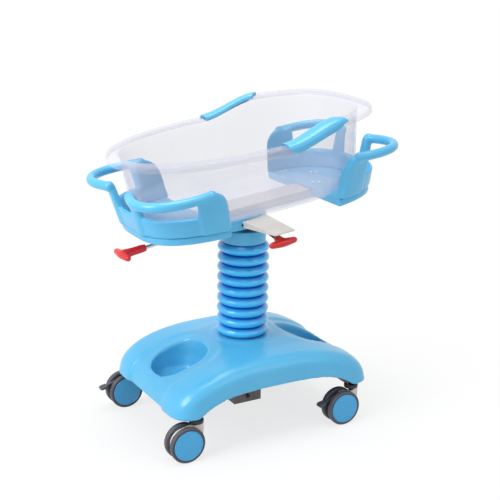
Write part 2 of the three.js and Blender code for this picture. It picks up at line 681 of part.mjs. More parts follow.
// Column head: a plate on the inner tube with a lug for the pivot pin, under a smooth sleeve.
const lugRadius = LUG_DIAMETER / 2;
const lugOutline = new THREE.Shape();
lugOutline.moveTo(-lugRadius, HEAD_BOTTOM + HEAD_PLATE / 2);
lugOutline.lineTo(lugRadius, HEAD_BOTTOM + HEAD_PLATE / 2);
lugOutline.absarc(0, PIVOT_HEIGHT, lugRadius, 0, Math.PI, false);
const pinHole = roundBar(PIN_DIAMETER + 2 * GAP, -LUG_WIDTH, LUG_WIDTH).rotateX(Math.PI / 2);
const headPlate = roundBar(
  SLEEVE_DIAMETER - 2 * (SLEEVE_WALL + TUBE_CLEARANCE), HEAD_BOTTOM, HEAD_BOTTOM + HEAD_PLATE,
);
const lug = slab(lugOutline, LUG_WIDTH);
place(base, 'column_head', shapeOf(
  cut(joined(headPlate, lug), pinHole.clone().translate(0, 0, PIVOT_HEIGHT)),
), GREY_STEEL);
const lugRoom = block(
  [-lugRadius - TUBE_CLEARANCE, -LUG_WIDTH / 2 - TUBE_CLEARANCE, SLEEVE_TOP - 2 * SLEEVE_WALL],
  [lugRadius + TUBE_CLEARANCE, LUG_WIDTH / 2 + TUBE_CLEARANCE, SLEEVE_TOP + SLEEVE_WALL],
);
const sleeveBore = SLEEVE_DIAMETER / 2 - SLEEVE_WALL;
const sleeve = turned([
  [0, SLEEVE_TOP - SLEEVE_WALL],
  [sleeveBore, SLEEVE_TOP - SLEEVE_WALL],
  [sleeveBore, BELLOWS_TOP + GAP],
  [SLEEVE_DIAMETER / 2, BELLOWS_TOP + GAP],
  [SLEEVE_DIAMETER / 2, SLEEVE_TOP],
  [0, SLEEVE_TOP],
]);
place(base, 'column_sleeve', shapeOf(cut(solid(sleeve), lugRoom)), BLUE_PLASTIC);

// Tilt pin and the toothed sector that the foot lever's tail locks into.
const pinHalf = SPINE_WIDTH / 2;
const tiltPin = roundBar(PIN_DIAMETER, -pinHalf, pinHalf).rotateX(Math.PI / 2);
place(base, 'tilt_pin', tiltPin.translate(0, 0, PIVOT_HEIGHT), BRIGHT_STEEL);
const sweep = THREE.MathUtils.degToRad(SECTOR_SWEEP_DEGREES);
const teeth = steps(Math.PI - sweep / 2, Math.PI + sweep / 2, 2 * SECTOR_TEETH).map((angle, i) => {
  const radius = SECTOR_RADIUS - (i % 2) * SECTOR_TOOTH;
  return [radius * Math.cos(angle), radius * Math.sin(angle)];
});
const sectorRoot = -lugRadius - GAP;
const sectorEnd = teeth[0][1];
const sector = slab([...teeth, [sectorRoot, -sectorEnd], [sectorRoot, sectorEnd]], SECTOR_THICKNESS);
place(base, 'tilt_sector', facingOut(mergeVertices(sector)).translate(0, 0, PIVOT_HEIGHT), DARK_STEEL);

// Spine: a channel open downwards from tray to tray, with deeper cheeks round the column head.
const spineHalf = SPINE_WIDTH / 2;
const spineEnds = [-FOOT_FRAME_START - SPINE_OVERLAP, HEAD_FRAME_START + SPINE_OVERLAP];
const spineBar = block([spineEnds[0], -spineHalf, SPINE_BOTTOM], [spineEnds[1], spineHalf, SPINE_TOP]);
const spineHub = block(
  [-SPINE_HUB_LENGTH / 2, -spineHalf, SPINE_HUB_BOTTOM], [SPINE_HUB_LENGTH / 2, spineHalf, SPINE_TOP],
);
const spineHollow = block(
  [2 * spineEnds[0], -spineHalf + SPINE_WALL, 2 * SPINE_HUB_BOTTOM],
  [2 * spineEnds[1], spineHalf - SPINE_WALL, SPINE_TOP - SPINE_WALL],
);
place(carrier, 'spine', shapeOf(cut(joined(spineBar, spineHub), spineHollow, pinHole)), WHITE_STEEL);

/** A tapered box along X between two reaches, hanging down from a top height. */
function taperedBox(near, far, halfWidths, top, bottoms) {
  return skin([near, far].map((reach, i) => [
    new THREE.Vector3(reach, -halfWidths[i], bottoms[i]),
    new THREE.Vector3(reach, halfWidths[i], bottoms[i]),
    new THREE.Vector3(reach, halfWidths[i], top),
    new THREE.Vector3(reach, -halfWidths[i], top),
  ]));
}

/** A release lever with its arm, pin and handle. Outwards is +X in the lever's own group. */
function releaseLever({ name, turn, root, armReach, reach, drop, stem, length, tail, flat }) {
  const group = new THREE.Group();
  group.rotation.z = turn;
  carrier.add(group);
  const pivot = new THREE.Vector2(root + LEVER_PIVOT_SETBACK, ARM_TOP - LEVER_PIVOT_DROP);
  const pinAt = (geometry) => geometry.rotateX(Math.PI / 2).translate(pivot.x, 0, pivot.y);

  const halves = [ARM_ROOT_WIDTH / 2, ARM_TIP_WIDTH / 2];
  const outer = taperedBox(
    root + GAP, armReach, halves, ARM_TOP, [ARM_TOP - ARM_ROOT_DEPTH, ARM_TOP - ARM_TIP_DEPTH],
  );
  const hollow = taperedBox(
    root - ARM_WALL, armReach - ARM_WALL, halves.map((half) => half - ARM_WALL), ARM_TOP - ARM_WALL,
    [2 * SPINE_HUB_BOTTOM, 2 * SPINE_HUB_BOTTOM],
  );
  const pinHalfLength = halves[0] + ARM_WALL;
  const pinRoom = pinAt(roundBar(LEVER_PIN_DIAMETER + 2 * GAP, -2 * halves[0], 2 * halves[0], SMALL_SEGMENTS));
  place(group, `${name}_arm`, shapeOf(cut(solid(outer), hollow, pinRoom)), WHITE_STEEL);
  const pin = pinAt(roundBar(LEVER_PIN_DIAMETER, -pinHalfLength, pinHalfLength, SMALL_SEGMENTS));
  place(group, `${name}_lever_pin`, pin, DARK_STEEL);

  const grip = new THREE.Vector2(reach, -drop);
  const lean = Math.atan2(pivot.y - grip.y, grip.x - pivot.x);
  const span = pivot.distanceTo(grip);
  const half = LEVER_THICKNESS / 2;
  const blade = slab([
    [-tail, -half], [span - stem * 0.9, -half], [span - stem * 0.9, half], [-tail, half],
  ], LEVER_WIDTH);
  const eye = roundBar(2 * LEVER_PIN_DIAMETER, -LEVER_WIDTH / 2, LEVER_WIDTH / 2, SMALL_SEGMENTS);
  const rodStart = flat ? span - stem : armReach - pivot.x;
  const rod = roundBar(LEVER_ROD_DIAMETER, rodStart, span - stem / 3, SMALL_SEGMENTS).rotateY(Math.PI / 2);
  const leverBody = joined(blade, eye.rotateX(Math.PI / 2), rod);
  const eyeBore = roundBar(LEVER_PIN_DIAMETER + 2 * GAP, -LEVER_WIDTH, LEVER_WIDTH, SMALL_SEGMENTS);
  const lever = shapeOf(cut(leverBody, eyeBore.rotateX(Math.PI / 2)));

  const gripRadius = HANDLE_DIAMETER / 2;
  const crossbar = turned([
    [0, -length / 2],
    [gripRadius * 0.6, -length / 2 + gripRadius * 0.2],
    [gripRadius * 0.8, -length / 2 + gripRadius * 0.7],
    [gripRadius, -length / 8],
    [gripRadius, length / 8],
    [gripRadius * 0.8, length / 2 - gripRadius * 0.7],
    [gripRadius * 0.6, length / 2 - gripRadius * 0.2],
    [0, length / 2],
  ], SMALL_SEGMENTS).rotateX(Math.PI / 2).translate(span, 0, 0);
  const neck = roundBar(HANDLE_STEM_DIAMETER, span - stem, span, SMALL_SEGMENTS).rotateY(Math.PI / 2);
  const socketHalf = [half + GAP, LEVER_WIDTH / 2 + GAP];
  const bladeSocket = block(
    [0, -socketHalf[1], -socketHalf[0]], [span - stem * 0.9 + GAP, socketHalf[1], socketHalf[0]],
  );
  const rodSocket = roundBar(LEVER_ROD_DIAMETER + 2 * GAP, 0, span - stem / 3 + GAP, SMALL_SEGMENTS);
  const handle = shapeOf(cut(joined(crossbar, neck), bladeSocket, rodSocket.rotateY(Math.PI / 2)));
  for (const geometry of [lever, handle]) {
    geometry.rotateY(lean).translate(pivot.x, 0, pivot.y);
  }
  place(group, `${name}_lever`, lever, flat ? DARK_STEEL : BRIGHT_STEEL);
  place(group, `${name}_lever_handle`, handle, RED_PLASTIC);
}

releaseLever({
  name: 'side',
  turn: -Math.PI / 2,
  root: spineHalf,
  armReach: SIDE_ARM_REACH,
  reach: SIDE_HANDLE_REACH,
  drop: SIDE_HANDLE_DROP,
  stem: SIDE_HANDLE_STEM,
  length: SIDE_HANDLE_LENGTH,
  tail: LEVER_PIVOT_SETBACK / 2,
  flat: true,
});
releaseLever({
  name: 'foot',
  turn: Math.PI,
  root: SPINE_HUB_LENGTH / 2,
  armReach: FOOT_ARM_REACH,
  reach: FOOT_HANDLE_REACH,
  drop: FOOT_HANDLE_DROP,
  stem: FOOT_HANDLE_STEM,
  length: FOOT_HANDLE_LENGTH,
  tail: SPINE_HUB_LENGTH / 2 + LEVER_PIVOT_SETBACK - SECTOR_RADIUS - SECTOR_TOOTH,
  flat: false,
});

// Tub. Its rows run up the outside, over the rolled rim and down the inside.
const TUB_POINTS = 40;

/** The point of the rim's plan in a direction, set in or out from it. The foot end is rounder. */
function rimPlan(angle, offset) {
  const squareness = Math.cos(angle) < 0 ? RIM_FOOT_SQUARENESS : RIM_HEAD_SQUARENESS;
  return ovalPoint(RIM_LENGTH + 2 * offset, RIM_WIDTH + 2 * offset, squareness, angle);
}

/** The height of the rim's top, which ramps up between the foot part and the head part. */
function rimHeight(x) {
  return RIM_FOOT_HEIGHT + RIM_HEAD_RISE * THREE.MathUtils.smoothstep(x, RAMP_FOOT_X, RAMP_HEAD_X);
}

/** A ring of the tub, offset from the rim outline, at a height that may follow the rim. */
function tubRing(offset, heightAt) {
  return fullTurn(TUB_POINTS).map((angle) => {
    const p = rimPlan(angle, offset);
    return new THREE.Vector3(p.x, p.y, heightAt(rimHeight(rimPlan(angle, 0).x)));
  });
}

const FLOOR_ROUND = 14;
const stepTop = TUB_BOTTOM + TUB_STEP_HEIGHT;
const stepInset = -TUB_FLOOR_INSET * 0.74;
const tubOutside = [
  tubRing(-TUB_FLOOR_INSET - FLOOR_ROUND, () => TUB_BOTTOM),
  tubRing(-TUB_FLOOR_INSET, () => TUB_BOTTOM + FLOOR_ROUND / 2),
  tubRing(stepInset, () => stepTop),
  tubRing(stepInset + TUB_STEP, () => stepTop + TUB_STEP / 2),
  tubRing(-RIM_OVERHANG - TUB_WALL, (rim) => rim - RIM_LIP),
  tubRing(-RIM_OVERHANG, (rim) => rim - TUB_WALL),
  tubRing(-TUB_WALL, (rim) => rim - TUB_WALL - RIM_LIP / 4),
  tubRing(-TUB_WALL, (rim) => rim - RIM_LIP),
  tubRing(0, (rim) => rim - RIM_LIP),
  tubRing(0, (rim) => rim - RIM_LIP / 3),
  tubRing(-RIM_OVERHANG / 3, (rim) => rim),
];
const tubInside = [
  tubRing(-RIM_OVERHANG, (rim) => rim),
  tubRing(-RIM_OVERHANG - 2 * TUB_WALL, (rim) => rim - RIM_LIP),
  tubRing(stepInset + TUB_STEP - TUB_WALL, () => stepTop + TUB_STEP / 2 + TUB_WALL),
  tubRing(stepInset - TUB_WALL, () => stepTop + TUB_WALL),
  tubRing(-TUB_FLOOR_INSET - TUB_WALL, () => TUB_BOTTOM + FLOOR_ROUND / 2 + TUB_WALL),
  tubRing(-TUB_FLOOR_INSET - FLOOR_ROUND, () => TUB_BOTTOM + TUB_WALL),
];
place(carrier, 'tub', skin([...tubOutside, ...tubInside]), CLEAR_PLASTIC);

// Rim grips: caps over the rolled rim along its ramp, one on each side.
const GRIP_SECTION = [
  [GRIP_WALL, -RIM_LIP - GRIP_WALL / 2],
  [GRIP_WALL * 1.3, -RIM_LIP / 2],
  [GRIP_WALL, 0],
  [0, GRIP_WALL],
  [-RIM_OVERHANG / 2, GRIP_WALL * 1.2],
  [-RIM_OVERHANG - GRIP_WALL / 2, GRIP_WALL],
  [-RIM_OVERHANG - GRIP_WALL, -RIM_LIP / 3],
  [-RIM_OVERHANG - GRIP_CLEARANCE, GRIP_CLEARANCE],
  [-RIM_OVERHANG / 3, GRIP_CLEARANCE],
  [GRIP_CLEARANCE, -RIM_LIP / 3],
  [GRIP_CLEARANCE, -RIM_LIP - GRIP_WALL / 2],
];

/** One rim grip, on the far side for +1 and on the near side for -1. */
function gripShape(side) {
  const [start, end] = [RAMP_HEAD_X, RAMP_FOOT_X].map((x) => (
    Math.atan2(ovalReach(RIM_LENGTH, RIM_WIDTH, RIM_HEAD_SQUARENESS, x), x)
  ));
  const rings = steps(start, end, 12).map((angle) => (
    GRIP_SECTION.map(([offset, rise]) => {
      const p = rimPlan(side * angle, offset);
      return new THREE.Vector3(p.x, p.y, rimHeight(rimPlan(angle, 0).x) + rise);
    })
  ));
  return skin(rings, GRIP_SECTION.map((p) => new THREE.Vector2(...p)));
}
place(carrier, 'rim_grip_near', gripShape(-1), BLUE_PLASTIC);
place(carrier, 'rim_grip_far', gripShape(1), BLUE_PLASTIC);

// End frames. The head frame is the foot frame turned round and set a little further out.
const sideAngle = (x) => Math.atan2(ovalReach(FRAME_LENGTH, RIM_WIDTH, RIM_HEAD_SQUARENESS, x), -x);
const endAngle = (y) => Math.atan2(y, -ovalReach(RIM_WIDTH, FRAME_LENGTH, RIM_HEAD_SQUARENESS, y));
const guardFoot = TRAY_TOP + GAP;
const POST_ROUND = 14;
const POST_EDGE = 4;

/** The guard's outer offset from the rim outline at a height: it leans out towards its top. */
function guardOffset(height) {
  return -GUARD_INSET - GUARD_SLOPE * (GUARD_POST_TOP - height) / (GUARD_POST_TOP - guardFoot);
}

/** Stations along half of a guard, from the side post to the middle of the end: [angle, top]. */
function guardStations(start) {
  const rounded = GUARD_POST_TOP - POST_ROUND;
  const sideEnd = start + SIDE_POST_LENGTH;
  const postHalf = END_POST_WIDTH / 2;
  const edges = [
    [sideAngle(start), rounded - POST_ROUND],
    [sideAngle(start + POST_EDGE), rounded],
    [sideAngle(start + POST_ROUND), GUARD_POST_TOP],
    [sideAngle(sideEnd), GUARD_POST_TOP],
    [sideAngle(sideEnd + POST_EDGE), GUARD_LOW_TOP],
  ];
  const lowStart = edges.at(-1)[0];
  const lowEnd = endAngle(END_POST_OFFSET + postHalf + POST_EDGE);
  const low = steps(lowStart, lowEnd, 6).slice(1).map((angle) => [angle, GUARD_LOW_TOP]);
  const posts = [
    [endAngle(END_POST_OFFSET + postHalf), GUARD_POST_TOP],
    [endAngle(END_POST_OFFSET - postHalf), GUARD_POST_TOP],
    [endAngle(END_POST_OFFSET - postHalf - POST_EDGE), GUARD_LOW_TOP],
    [endAngle(END_POST_OFFSET / 4), GUARD_LOW_TOP],
  ];
  return [...edges, ...low, ...posts];
}

/** An end frame: its tray, and its guard with a handle bar over each corner. */
function endFrame({ name, sign, start, shift }) {
  const at = (angle, offset, z) => {
    const p = ovalPoint(FRAME_LENGTH + 2 * offset, RIM_WIDTH + 2 * offset, RIM_HEAD_SQUARENESS, angle);
    return new THREE.Vector3(sign * p.x + shift, p.y, z);
  };
  const half = guardStations(start);
  const mirrored = half.map(([angle, top]) => [2 * Math.PI - angle, top]).reverse();
  const rings = [...half, ...mirrored].map(([angle, top]) => {
    const brow = top - GUARD_THICKNESS / 3;
    const inner = (z) => guardOffset(z) - GUARD_THICKNESS;
    return [
      at(angle, guardOffset(guardFoot), guardFoot),
      at(angle, guardOffset((guardFoot + brow) / 2), (guardFoot + brow) / 2),
      at(angle, guardOffset(brow), brow),
      at(angle, guardOffset(top) - GUARD_THICKNESS / 4, top),
      at(angle, inner(top) + GUARD_THICKNESS / 4, top),
      at(angle, inner(brow), brow),
      at(angle, inner(guardFoot), guardFoot),
    ];
  });
  let guard = solid(skin(rings));
  const barStart = sideAngle(start + SIDE_POST_LENGTH / 2);
  const barEnd = endAngle(END_POST_OFFSET);
  const barSeat = -GUARD_INSET - GUARD_THICKNESS + BAR_DIAMETER / 2;
  const barShape = new THREE.Shape().absarc(0, 0, BAR_DIAMETER / 2, 0, 2 * Math.PI);
  for (const side of [-1, 1]) {
    const route = steps(0, 1, 12).map((share) => at(
      side * (barStart + (barEnd - barStart) * share),
      barSeat + BAR_REACH * Math.sin(Math.PI * share),
      GUARD_POST_TOP - BAR_DROP,
    ));
    const bar = new THREE.ExtrudeGeometry(barShape, {
      steps: 14,
      curveSegments: 4,
      extrudePath: new THREE.CatmullRomCurve3(route),
    });
    guard = guard.add(solid(bar));
  }
  place(carrier, `${name}_guard`, shapeOf(guard), BLUE_PLASTIC);

  /** A flat plate inside the frame's outline, drawn in from it and from its straight edge. */
  const plate = (inset, setback, low, high, bevel) => {
    const corner = sideAngle(start + setback);
    const outline = steps(corner, 2 * Math.PI - corner, 20).map((angle) => {
      const p = at(angle, -inset, 0);
      return new THREE.Vector2(p.x, p.y);
    });
    const body = new THREE.ExtrudeGeometry(new THREE.Shape(outline), {
      depth: high - low - 2 * bevel,
      bevelEnabled: bevel > 0,
      bevelSize: bevel,
      bevelThickness: bevel,
      bevelSegments: 2,
    });
    return body.translate(0, 0, low + bevel);
  };
  const tray = plate(TRAY_INSET + TRAY_BEVEL, TRAY_BEVEL, TRAY_BOTTOM, TRAY_TOP, TRAY_BEVEL);
  const hollow = plate(
    TRAY_INSET + TRAY_WALL, 2 * TRAY_WALL, TRAY_BOTTOM - TRAY_WALL, TRAY_TOP - TRAY_WALL, 0,
  );
  const spineRoom = block(
    [spineEnds[0] - GAP, -spineHalf - GAP, TRAY_BOTTOM - TRAY_WALL],
    [spineEnds[1] + GAP, spineHalf + GAP, TRAY_TOP - TRAY_WALL],
  );
  place(carrier, `${name}_tray`, shapeOf(cut(solid(tray), hollow, spineRoom)), BLUE_PLASTIC);
}

endFrame({ name: 'foot', sign: 1, start: FOOT_FRAME_START, shift: 0 });
endFrame({ name: 'head', sign: -1, start: HEAD_FRAME_START, shift: HEAD_FRAME_SHIFT });

// The origin lies on the floor, under the middle of the whole bassinet.
bassinet.updateMatrixWorld(true);
const extent = new THREE.Box3().setFromObject(bassinet, true);
const middle = extent.getCenter(new THREE.Vector3());
bassinet.position.set(-middle.x, -middle.y, -extent.min.z);

export default bassinet;
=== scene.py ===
"""Looks of a hospital bassinet: a clear tub on a tilting carrier over a bellows column and a base.

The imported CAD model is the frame. Sizes are in millimetres, measured as in the CAD model: on the
base from the column's axis, and on the tilting carrier from its pivot. Each piece is then set into
the row frame, which is in metres.
"""

import json
import logging
import math
from dataclasses import dataclass
from enum import Enum
from typing import Callable, Sequence, Union

import bmesh
import bpy
from bmesh.types import BMEdge, BMesh, BMVert
from bpy.types import Material, Node, NodeSocket, NodeTree, Object
from mathutils import Matrix, Vector

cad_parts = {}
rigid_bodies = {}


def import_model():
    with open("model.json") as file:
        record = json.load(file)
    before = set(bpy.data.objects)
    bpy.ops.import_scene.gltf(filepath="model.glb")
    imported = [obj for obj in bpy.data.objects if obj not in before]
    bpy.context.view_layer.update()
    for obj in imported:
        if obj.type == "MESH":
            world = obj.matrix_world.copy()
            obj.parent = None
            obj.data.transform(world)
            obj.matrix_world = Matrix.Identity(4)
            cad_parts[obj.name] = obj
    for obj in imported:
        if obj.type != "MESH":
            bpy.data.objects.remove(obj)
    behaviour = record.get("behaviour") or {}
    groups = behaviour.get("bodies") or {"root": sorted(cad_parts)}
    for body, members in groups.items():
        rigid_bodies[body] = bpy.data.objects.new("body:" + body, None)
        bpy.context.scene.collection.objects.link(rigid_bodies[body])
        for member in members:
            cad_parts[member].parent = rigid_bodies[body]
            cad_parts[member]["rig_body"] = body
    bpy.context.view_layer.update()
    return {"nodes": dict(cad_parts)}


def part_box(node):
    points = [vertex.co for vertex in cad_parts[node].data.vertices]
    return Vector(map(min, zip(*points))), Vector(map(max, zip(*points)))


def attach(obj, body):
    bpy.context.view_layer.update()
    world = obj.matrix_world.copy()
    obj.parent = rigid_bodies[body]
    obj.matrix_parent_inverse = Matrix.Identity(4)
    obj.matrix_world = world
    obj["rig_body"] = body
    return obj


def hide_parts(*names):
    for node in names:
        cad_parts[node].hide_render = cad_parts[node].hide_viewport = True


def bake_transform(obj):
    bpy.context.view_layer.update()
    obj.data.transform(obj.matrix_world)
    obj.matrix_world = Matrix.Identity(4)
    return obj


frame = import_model()
LOG = logging.getLogger("bassinet")

Ring = Sequence[Vector]
Section = Sequence[tuple[float, float]]
Colour = tuple[float, float, float]
Sources = dict[Union[str, int], Union[NodeSocket, float, Sequence[float]]]

MILLIMETRE = 0.001
FULL_TURN = 2.0 * math.pi
QUARTER_TURN = math.pi / 2.0
PIVOT_HEIGHT = 0.6
REST_TILT = math.radians(-7.0)
LOFT_WELD = 1e-5
SPIN_WELD = 1e-4
NODE_WELD = 1e-6
SOFTENING = 0.5


class Side(Enum):
    """The two long sides of the bassinet."""

    NEAR = -1
    FAR = 1


class End(Enum):
    """The two ends of the bassinet."""

    FOOT = -1
    HEAD = 1


def column_axis() -> float:
    """Returns: the column axis's place along X in the row frame, in metres."""
    low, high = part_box("bellows")
    return (low.x + high.x) / 2.0


ON_BASE: Matrix = Matrix.Translation((column_axis(), 0.0, 0.0)) @ Matrix.Scale(MILLIMETRE, 4)
ON_CARRIER: Matrix = (
    Matrix.Translation((column_axis(), 0.0, PIVOT_HEIGHT))
    @ Matrix.Rotation(REST_TILT, 4, "Y")
    @ Matrix.Scale(MILLIMETRE, 4)
)


def smoothstep(value: float, low: float, high: float) -> float:
    """A soft step.

    Args:
        value: the place on the step.
        low: where the step starts to rise.
        high: where it has risen.

    Returns:
        0 before low, 1 after high, and a smooth rise between them.
    """
    share = min(1.0, max(0.0, (value - low) / (high - low)))
    return share * share * (3.0 - 2.0 * share)


def oval_point(length: float, width: float, squareness: float, angle: float) -> Vector:
    """A point of a rounded outline.

    Args:
        length: its full length along X.
        width: its full width along Y.
        squareness: its exponent; 2 is an ellipse.
        angle: the direction from its middle.

    Returns:
        The point, at height 0.
    """
    along = abs(math.cos(angle)) / (length / 2.0)
    across = abs(math.sin(angle)) / (width / 2.0)
    radius = (along**squareness + across**squareness) ** (-1.0 / squareness)
    return Vector((radius * math.cos(angle), radius * math.sin(angle), 0.0))


def oval_reach(length: float, width: float, squareness: float, distance: float) -> float:
    """The half-width of a rounded outline at a distance along its length.

    Args:
        length: its full length.
        width: its full width.
        squareness: its exponent.
        distance: the distance along its length, from its middle.

    Returns:
        The half-width there.
    """
    share = min(1.0, abs(2.0 * distance / length))
    return width / 2.0 * (1.0 - share**squareness) ** (1.0 / squareness)


def turns(count: int) -> list[float]:
    """Args: count: how many. Returns: equal steps of angle round a full turn."""
    return [FULL_TURN * i / count for i in range(count)]


def steps(start: float, end: float, count: int) -> list[float]:
    """Args: start, end: the ends. count: the gaps. Returns: equal steps, both ends included."""
    return [start + (end - start) * i / count for i in range(count + 1)]


def quarter(
    middle: tuple[float, float], radius: float, start: float, count: int
) -> list[tuple[float, float]]:
    """A rounded edge of a section.

    Args:
        middle: the middle of its arc.
        radius: its radius.
        start: the direction of its first point, from which it runs anticlockwise.
        count: the gaps between its points.

    Returns:
        The points of a quarter of a circle.
    """
    return [
        (middle[0] + radius * math.cos(start + t), middle[1] + radius * math.sin(start + t))
        for t in steps(0.0, QUARTER_TURN, count)
    ]


def between(first: Ring, last: Ring, count: int) -> list[list[Vector]]:
    """Rings that lead from one ring to another.

    Args:
        first: the ring they start from, which isn't among them.
        last: the ring they end with.
        count: how many they are.

    Returns:
        The rings in order.
    """
    return [
        [a.lerp(b, share) for a, b in zip(first, last)] for share in steps(0.0, 1.0, count)[1:]
    ]


class Loft:
    """A surface drawn through rings of equal length, each extruded from the one before."""

    def __init__(self, first: Ring) -> None:
        """Starts the surface.

        Args:
            first: the ring to start from.
        """
        self.bm = bmesh.new()
        circle = bmesh.ops.create_circle(
            self.bm, cap_ends=False, radius=1.0, segments=len(first)
        )
        self.start: list[BMVert] = list(circle["verts"])
        self.ring: list[BMVert] = self.start
        self._move(first)

    def _move(self, places: Ring) -> None:
        """Args: places: where the newest ring's vertices go."""
        for vert, place in zip(self.ring, places):
            vert.co = place

    def _edges(self, ring: list[BMVert]) -> list[BMEdge]:
        """Args: ring: its vertices. Returns: the edges round it."""
        pairs = zip(ring, ring[1:] + ring[:1])
        return [edge for edge in (self.bm.edges.get(pair) for pair in pairs) if edge]

    def add(self, places: Ring) -> None:
        """Extrudes the newest ring.

        Args:
            places: the next ring.
        """
        made = bmesh.ops.extrude_edge_only(self.bm, edges=self._edges(self.ring))["geom"]
        new = {item for item in made if isinstance(item, BMVert)}
        self.ring = [
            next(edge.other_vert(vert) for edge in vert.link_edges if edge.other_vert(vert) in new)
            for vert in self.ring
        ]
        self._move(places)

    def cap(self) -> "Loft":
        """Fills the ends.

        Returns:
            This loft, with its first and last rings filled.
        """
        for ring in (self.start, self.ring):
            bmesh.ops.edgeloop_fill(self.bm, edges=self._edges(ring))
        return self

    def close(self) -> "Loft":
        """Closes the loft on itself.

        Returns:
            This loft, with its last ring brought back onto its first.
        """
        self.add([vert.co.copy() for vert in self.start])
        bmesh.ops.remove_doubles(self.bm, verts=self.bm.verts, dist=LOFT_WELD)
        return self

    @staticmethod
    def through(rings: Sequence[Ring], closed: bool = False) -> BMesh:
        """A finished loft.

        Args:
            rings: the rings in order.
            closed: whether the last ring joins the first, as in a shell.

        Returns:
            The closed mesh, its faces outwards.
        """
        loft = Loft(rings[0])
        for ring in rings[1:]:
            loft.add(ring)
        bm = (loft.close() if closed else loft.cap()).bm
        bmesh.ops.recalc_face_normals(bm, faces=bm.faces)
        return bm


def spun(profile: Section, segments: int) -> BMesh:
    """A body of revolution about Z.

    Args:
        profile: its radius and height at each point, in order.
        segments: the steps of a full turn.

    Returns:
        The closed mesh, its faces outwards.
    """
    bm = bmesh.new()
    verts = [bm.verts.new((radius, 0.0, height)) for radius, height in profile]
    edges = [bm.edges.new(pair) for pair in zip(verts, verts[1:])]
    bmesh.ops.spin(
        bm, geom=verts + edges, cent=(0, 0, 0), axis=(0, 0, 1), angle=FULL_TURN, steps=segments,
        use_merge=True,
    )
    bmesh.ops.remove_doubles(bm, verts=bm.verts, dist=SPIN_WELD)
    bmesh.ops.recalc_face_normals(bm, faces=bm.faces)
    return bm


def swept(route: Sequence[Vector], radius: float, segments: int = 24) -> BMesh:
    """A round bar along a route.

    Args:
        route: the points of its middle line.
        radius: the bar's radius.
        segments: points round it.

    Returns:
        The capped mesh.
    """
    rings = []
    for i, point in enumerate(route):
        ahead = (route[min(i + 1, len(route) - 1)] - route[max(i - 1, 0)]).normalized()
        across = ahead.cross(Vector((0, 0, 1))).normalized()
        lift = across.cross(ahead)
        rings.append([
            point + radius * (math.cos(a) * across + math.sin(a) * lift) for a in turns(segments)
        ])
    return Loft.through(rings)


def block(low: Sequence[float], high: Sequence[float]) -> BMesh:
    """A box.

    Args:
        low: its lowest corner.
        high: its highest corner.

    Returns:
        The closed mesh.
    """
    bm = bmesh.new()
    bmesh.ops.create_cube(bm, size=1.0)
    size = Vector(high) - Vector(low)
    bmesh.ops.scale(bm, vec=size, verts=bm.verts)
    bmesh.ops.translate(bm, vec=Vector(low) + size / 2.0, verts=bm.verts)
    return bm


def join(*parts: BMesh) -> BMesh:
    """Puts meshes together.

    Args:
        parts: the meshes, which are used up.

    Returns:
        One mesh with all of them.
    """
    whole = bmesh.new()
    for part in parts:
        carrier = bpy.data.meshes.new("joining")
        part.to_mesh(carrier)
        part.free()
        whole.from_mesh(carrier)
        bpy.data.meshes.remove(carrier)
    return whole


def as_object(bm: BMesh, name: str) -> Object:
    """Makes an object of a mesh.

    Args:
        bm: the mesh, which is used up.
        name: the object's name.

    Returns:
        The object, in the scene.
    """
    mesh = bpy.data.meshes.new(name)
    bm.to_mesh(mesh)
    bm.free()
    made = bpy.data.objects.new(name, mesh)
    bpy.context.scene.collection.objects.link(made)
    return made


def bake_modifiers(target: Object) -> None:
    """Makes an object's modifiers part of its mesh.

    Args:
        target: the object.
    """
    bpy.context.view_layer.update()
    seen = target.evaluated_get(bpy.context.evaluated_depsgraph_get())
    mesh = bpy.data.meshes.new_from_object(seen)
    target.modifiers.clear()
    old = target.data
    target.data = mesh
    bpy.data.meshes.remove(old)


def carve(target: Object, tool: BMesh) -> None:
    """Cuts a form out of an object.

    Args:
        target: the object that changes.
        tool: the form to cut with, which is used up.
    """
    helper = as_object(tool, "carving_form")
    modifier = target.modifiers.new("carve", "BOOLEAN")
    modifier.operation = "DIFFERENCE"
    modifier.solver = "EXACT"
    modifier.object = helper
    bake_modifiers(target)
    bpy.data.objects.remove(helper)


def melt(target: Object, voxel: float, rounds: int) -> None:
    """Makes one smooth moulded skin of joined forms.

    Args:
        target: the object that changes.
        voxel: the size of the new skin's faces.
        rounds: how often its edges are softened.
    """
    remesh = target.modifiers.new("skin", "REMESH")
    remesh.mode = "VOXEL"
    remesh.voxel_size = voxel
    soften = target.modifiers.new("soften", "SMOOTH")
    soften.factor = SOFTENING
    soften.iterations = rounds
    bake_modifiers(target)


def srgb(red: int, green: int, blue: int) -> Colour:
    """A colour as the eye sees it, for a shader.

    Args:
        red: 0 to 255.
        green: 0 to 255.
        blue: 0 to 255.

    Returns:
        The same colour in linear light.
    """
    seen = (red / 255.0, green / 255.0, blue / 255.0)
    linear = [c / 12.92 if c <= 0.04045 else ((c + 0.055) / 1.055) ** 2.4 for c in seen]
    return linear[0], linear[1], linear[2]


def feed(target: Node, sources: Sources) -> Node:
    """Sets or links a shader node's inputs.

    Args:
        target: the node.
        sources: for each input, a value or the socket that it is linked to.

    Returns:
        The node.
    """
    for socket, source in sources.items():
        if isinstance(source, NodeSocket):
            target.id_data.links.new(source, target.inputs[socket])
        else:
            target.inputs[socket].default_value = source
    return target


def add(tree: NodeTree, kind: str, sources: Sources, **settings: Union[str, NodeTree]) -> Node:
    """Adds a shader node.

    Args:
        tree: where it goes.
        kind: the last part of its type's name.
        sources: for each input, a value or the socket that it is linked to.
        settings: its own properties.

    Returns:
        The node.
    """
    made = tree.nodes.new(f"ShaderNode{kind}")
    for name, value in settings.items():
        setattr(made, name, value)
    return feed(made, sources)


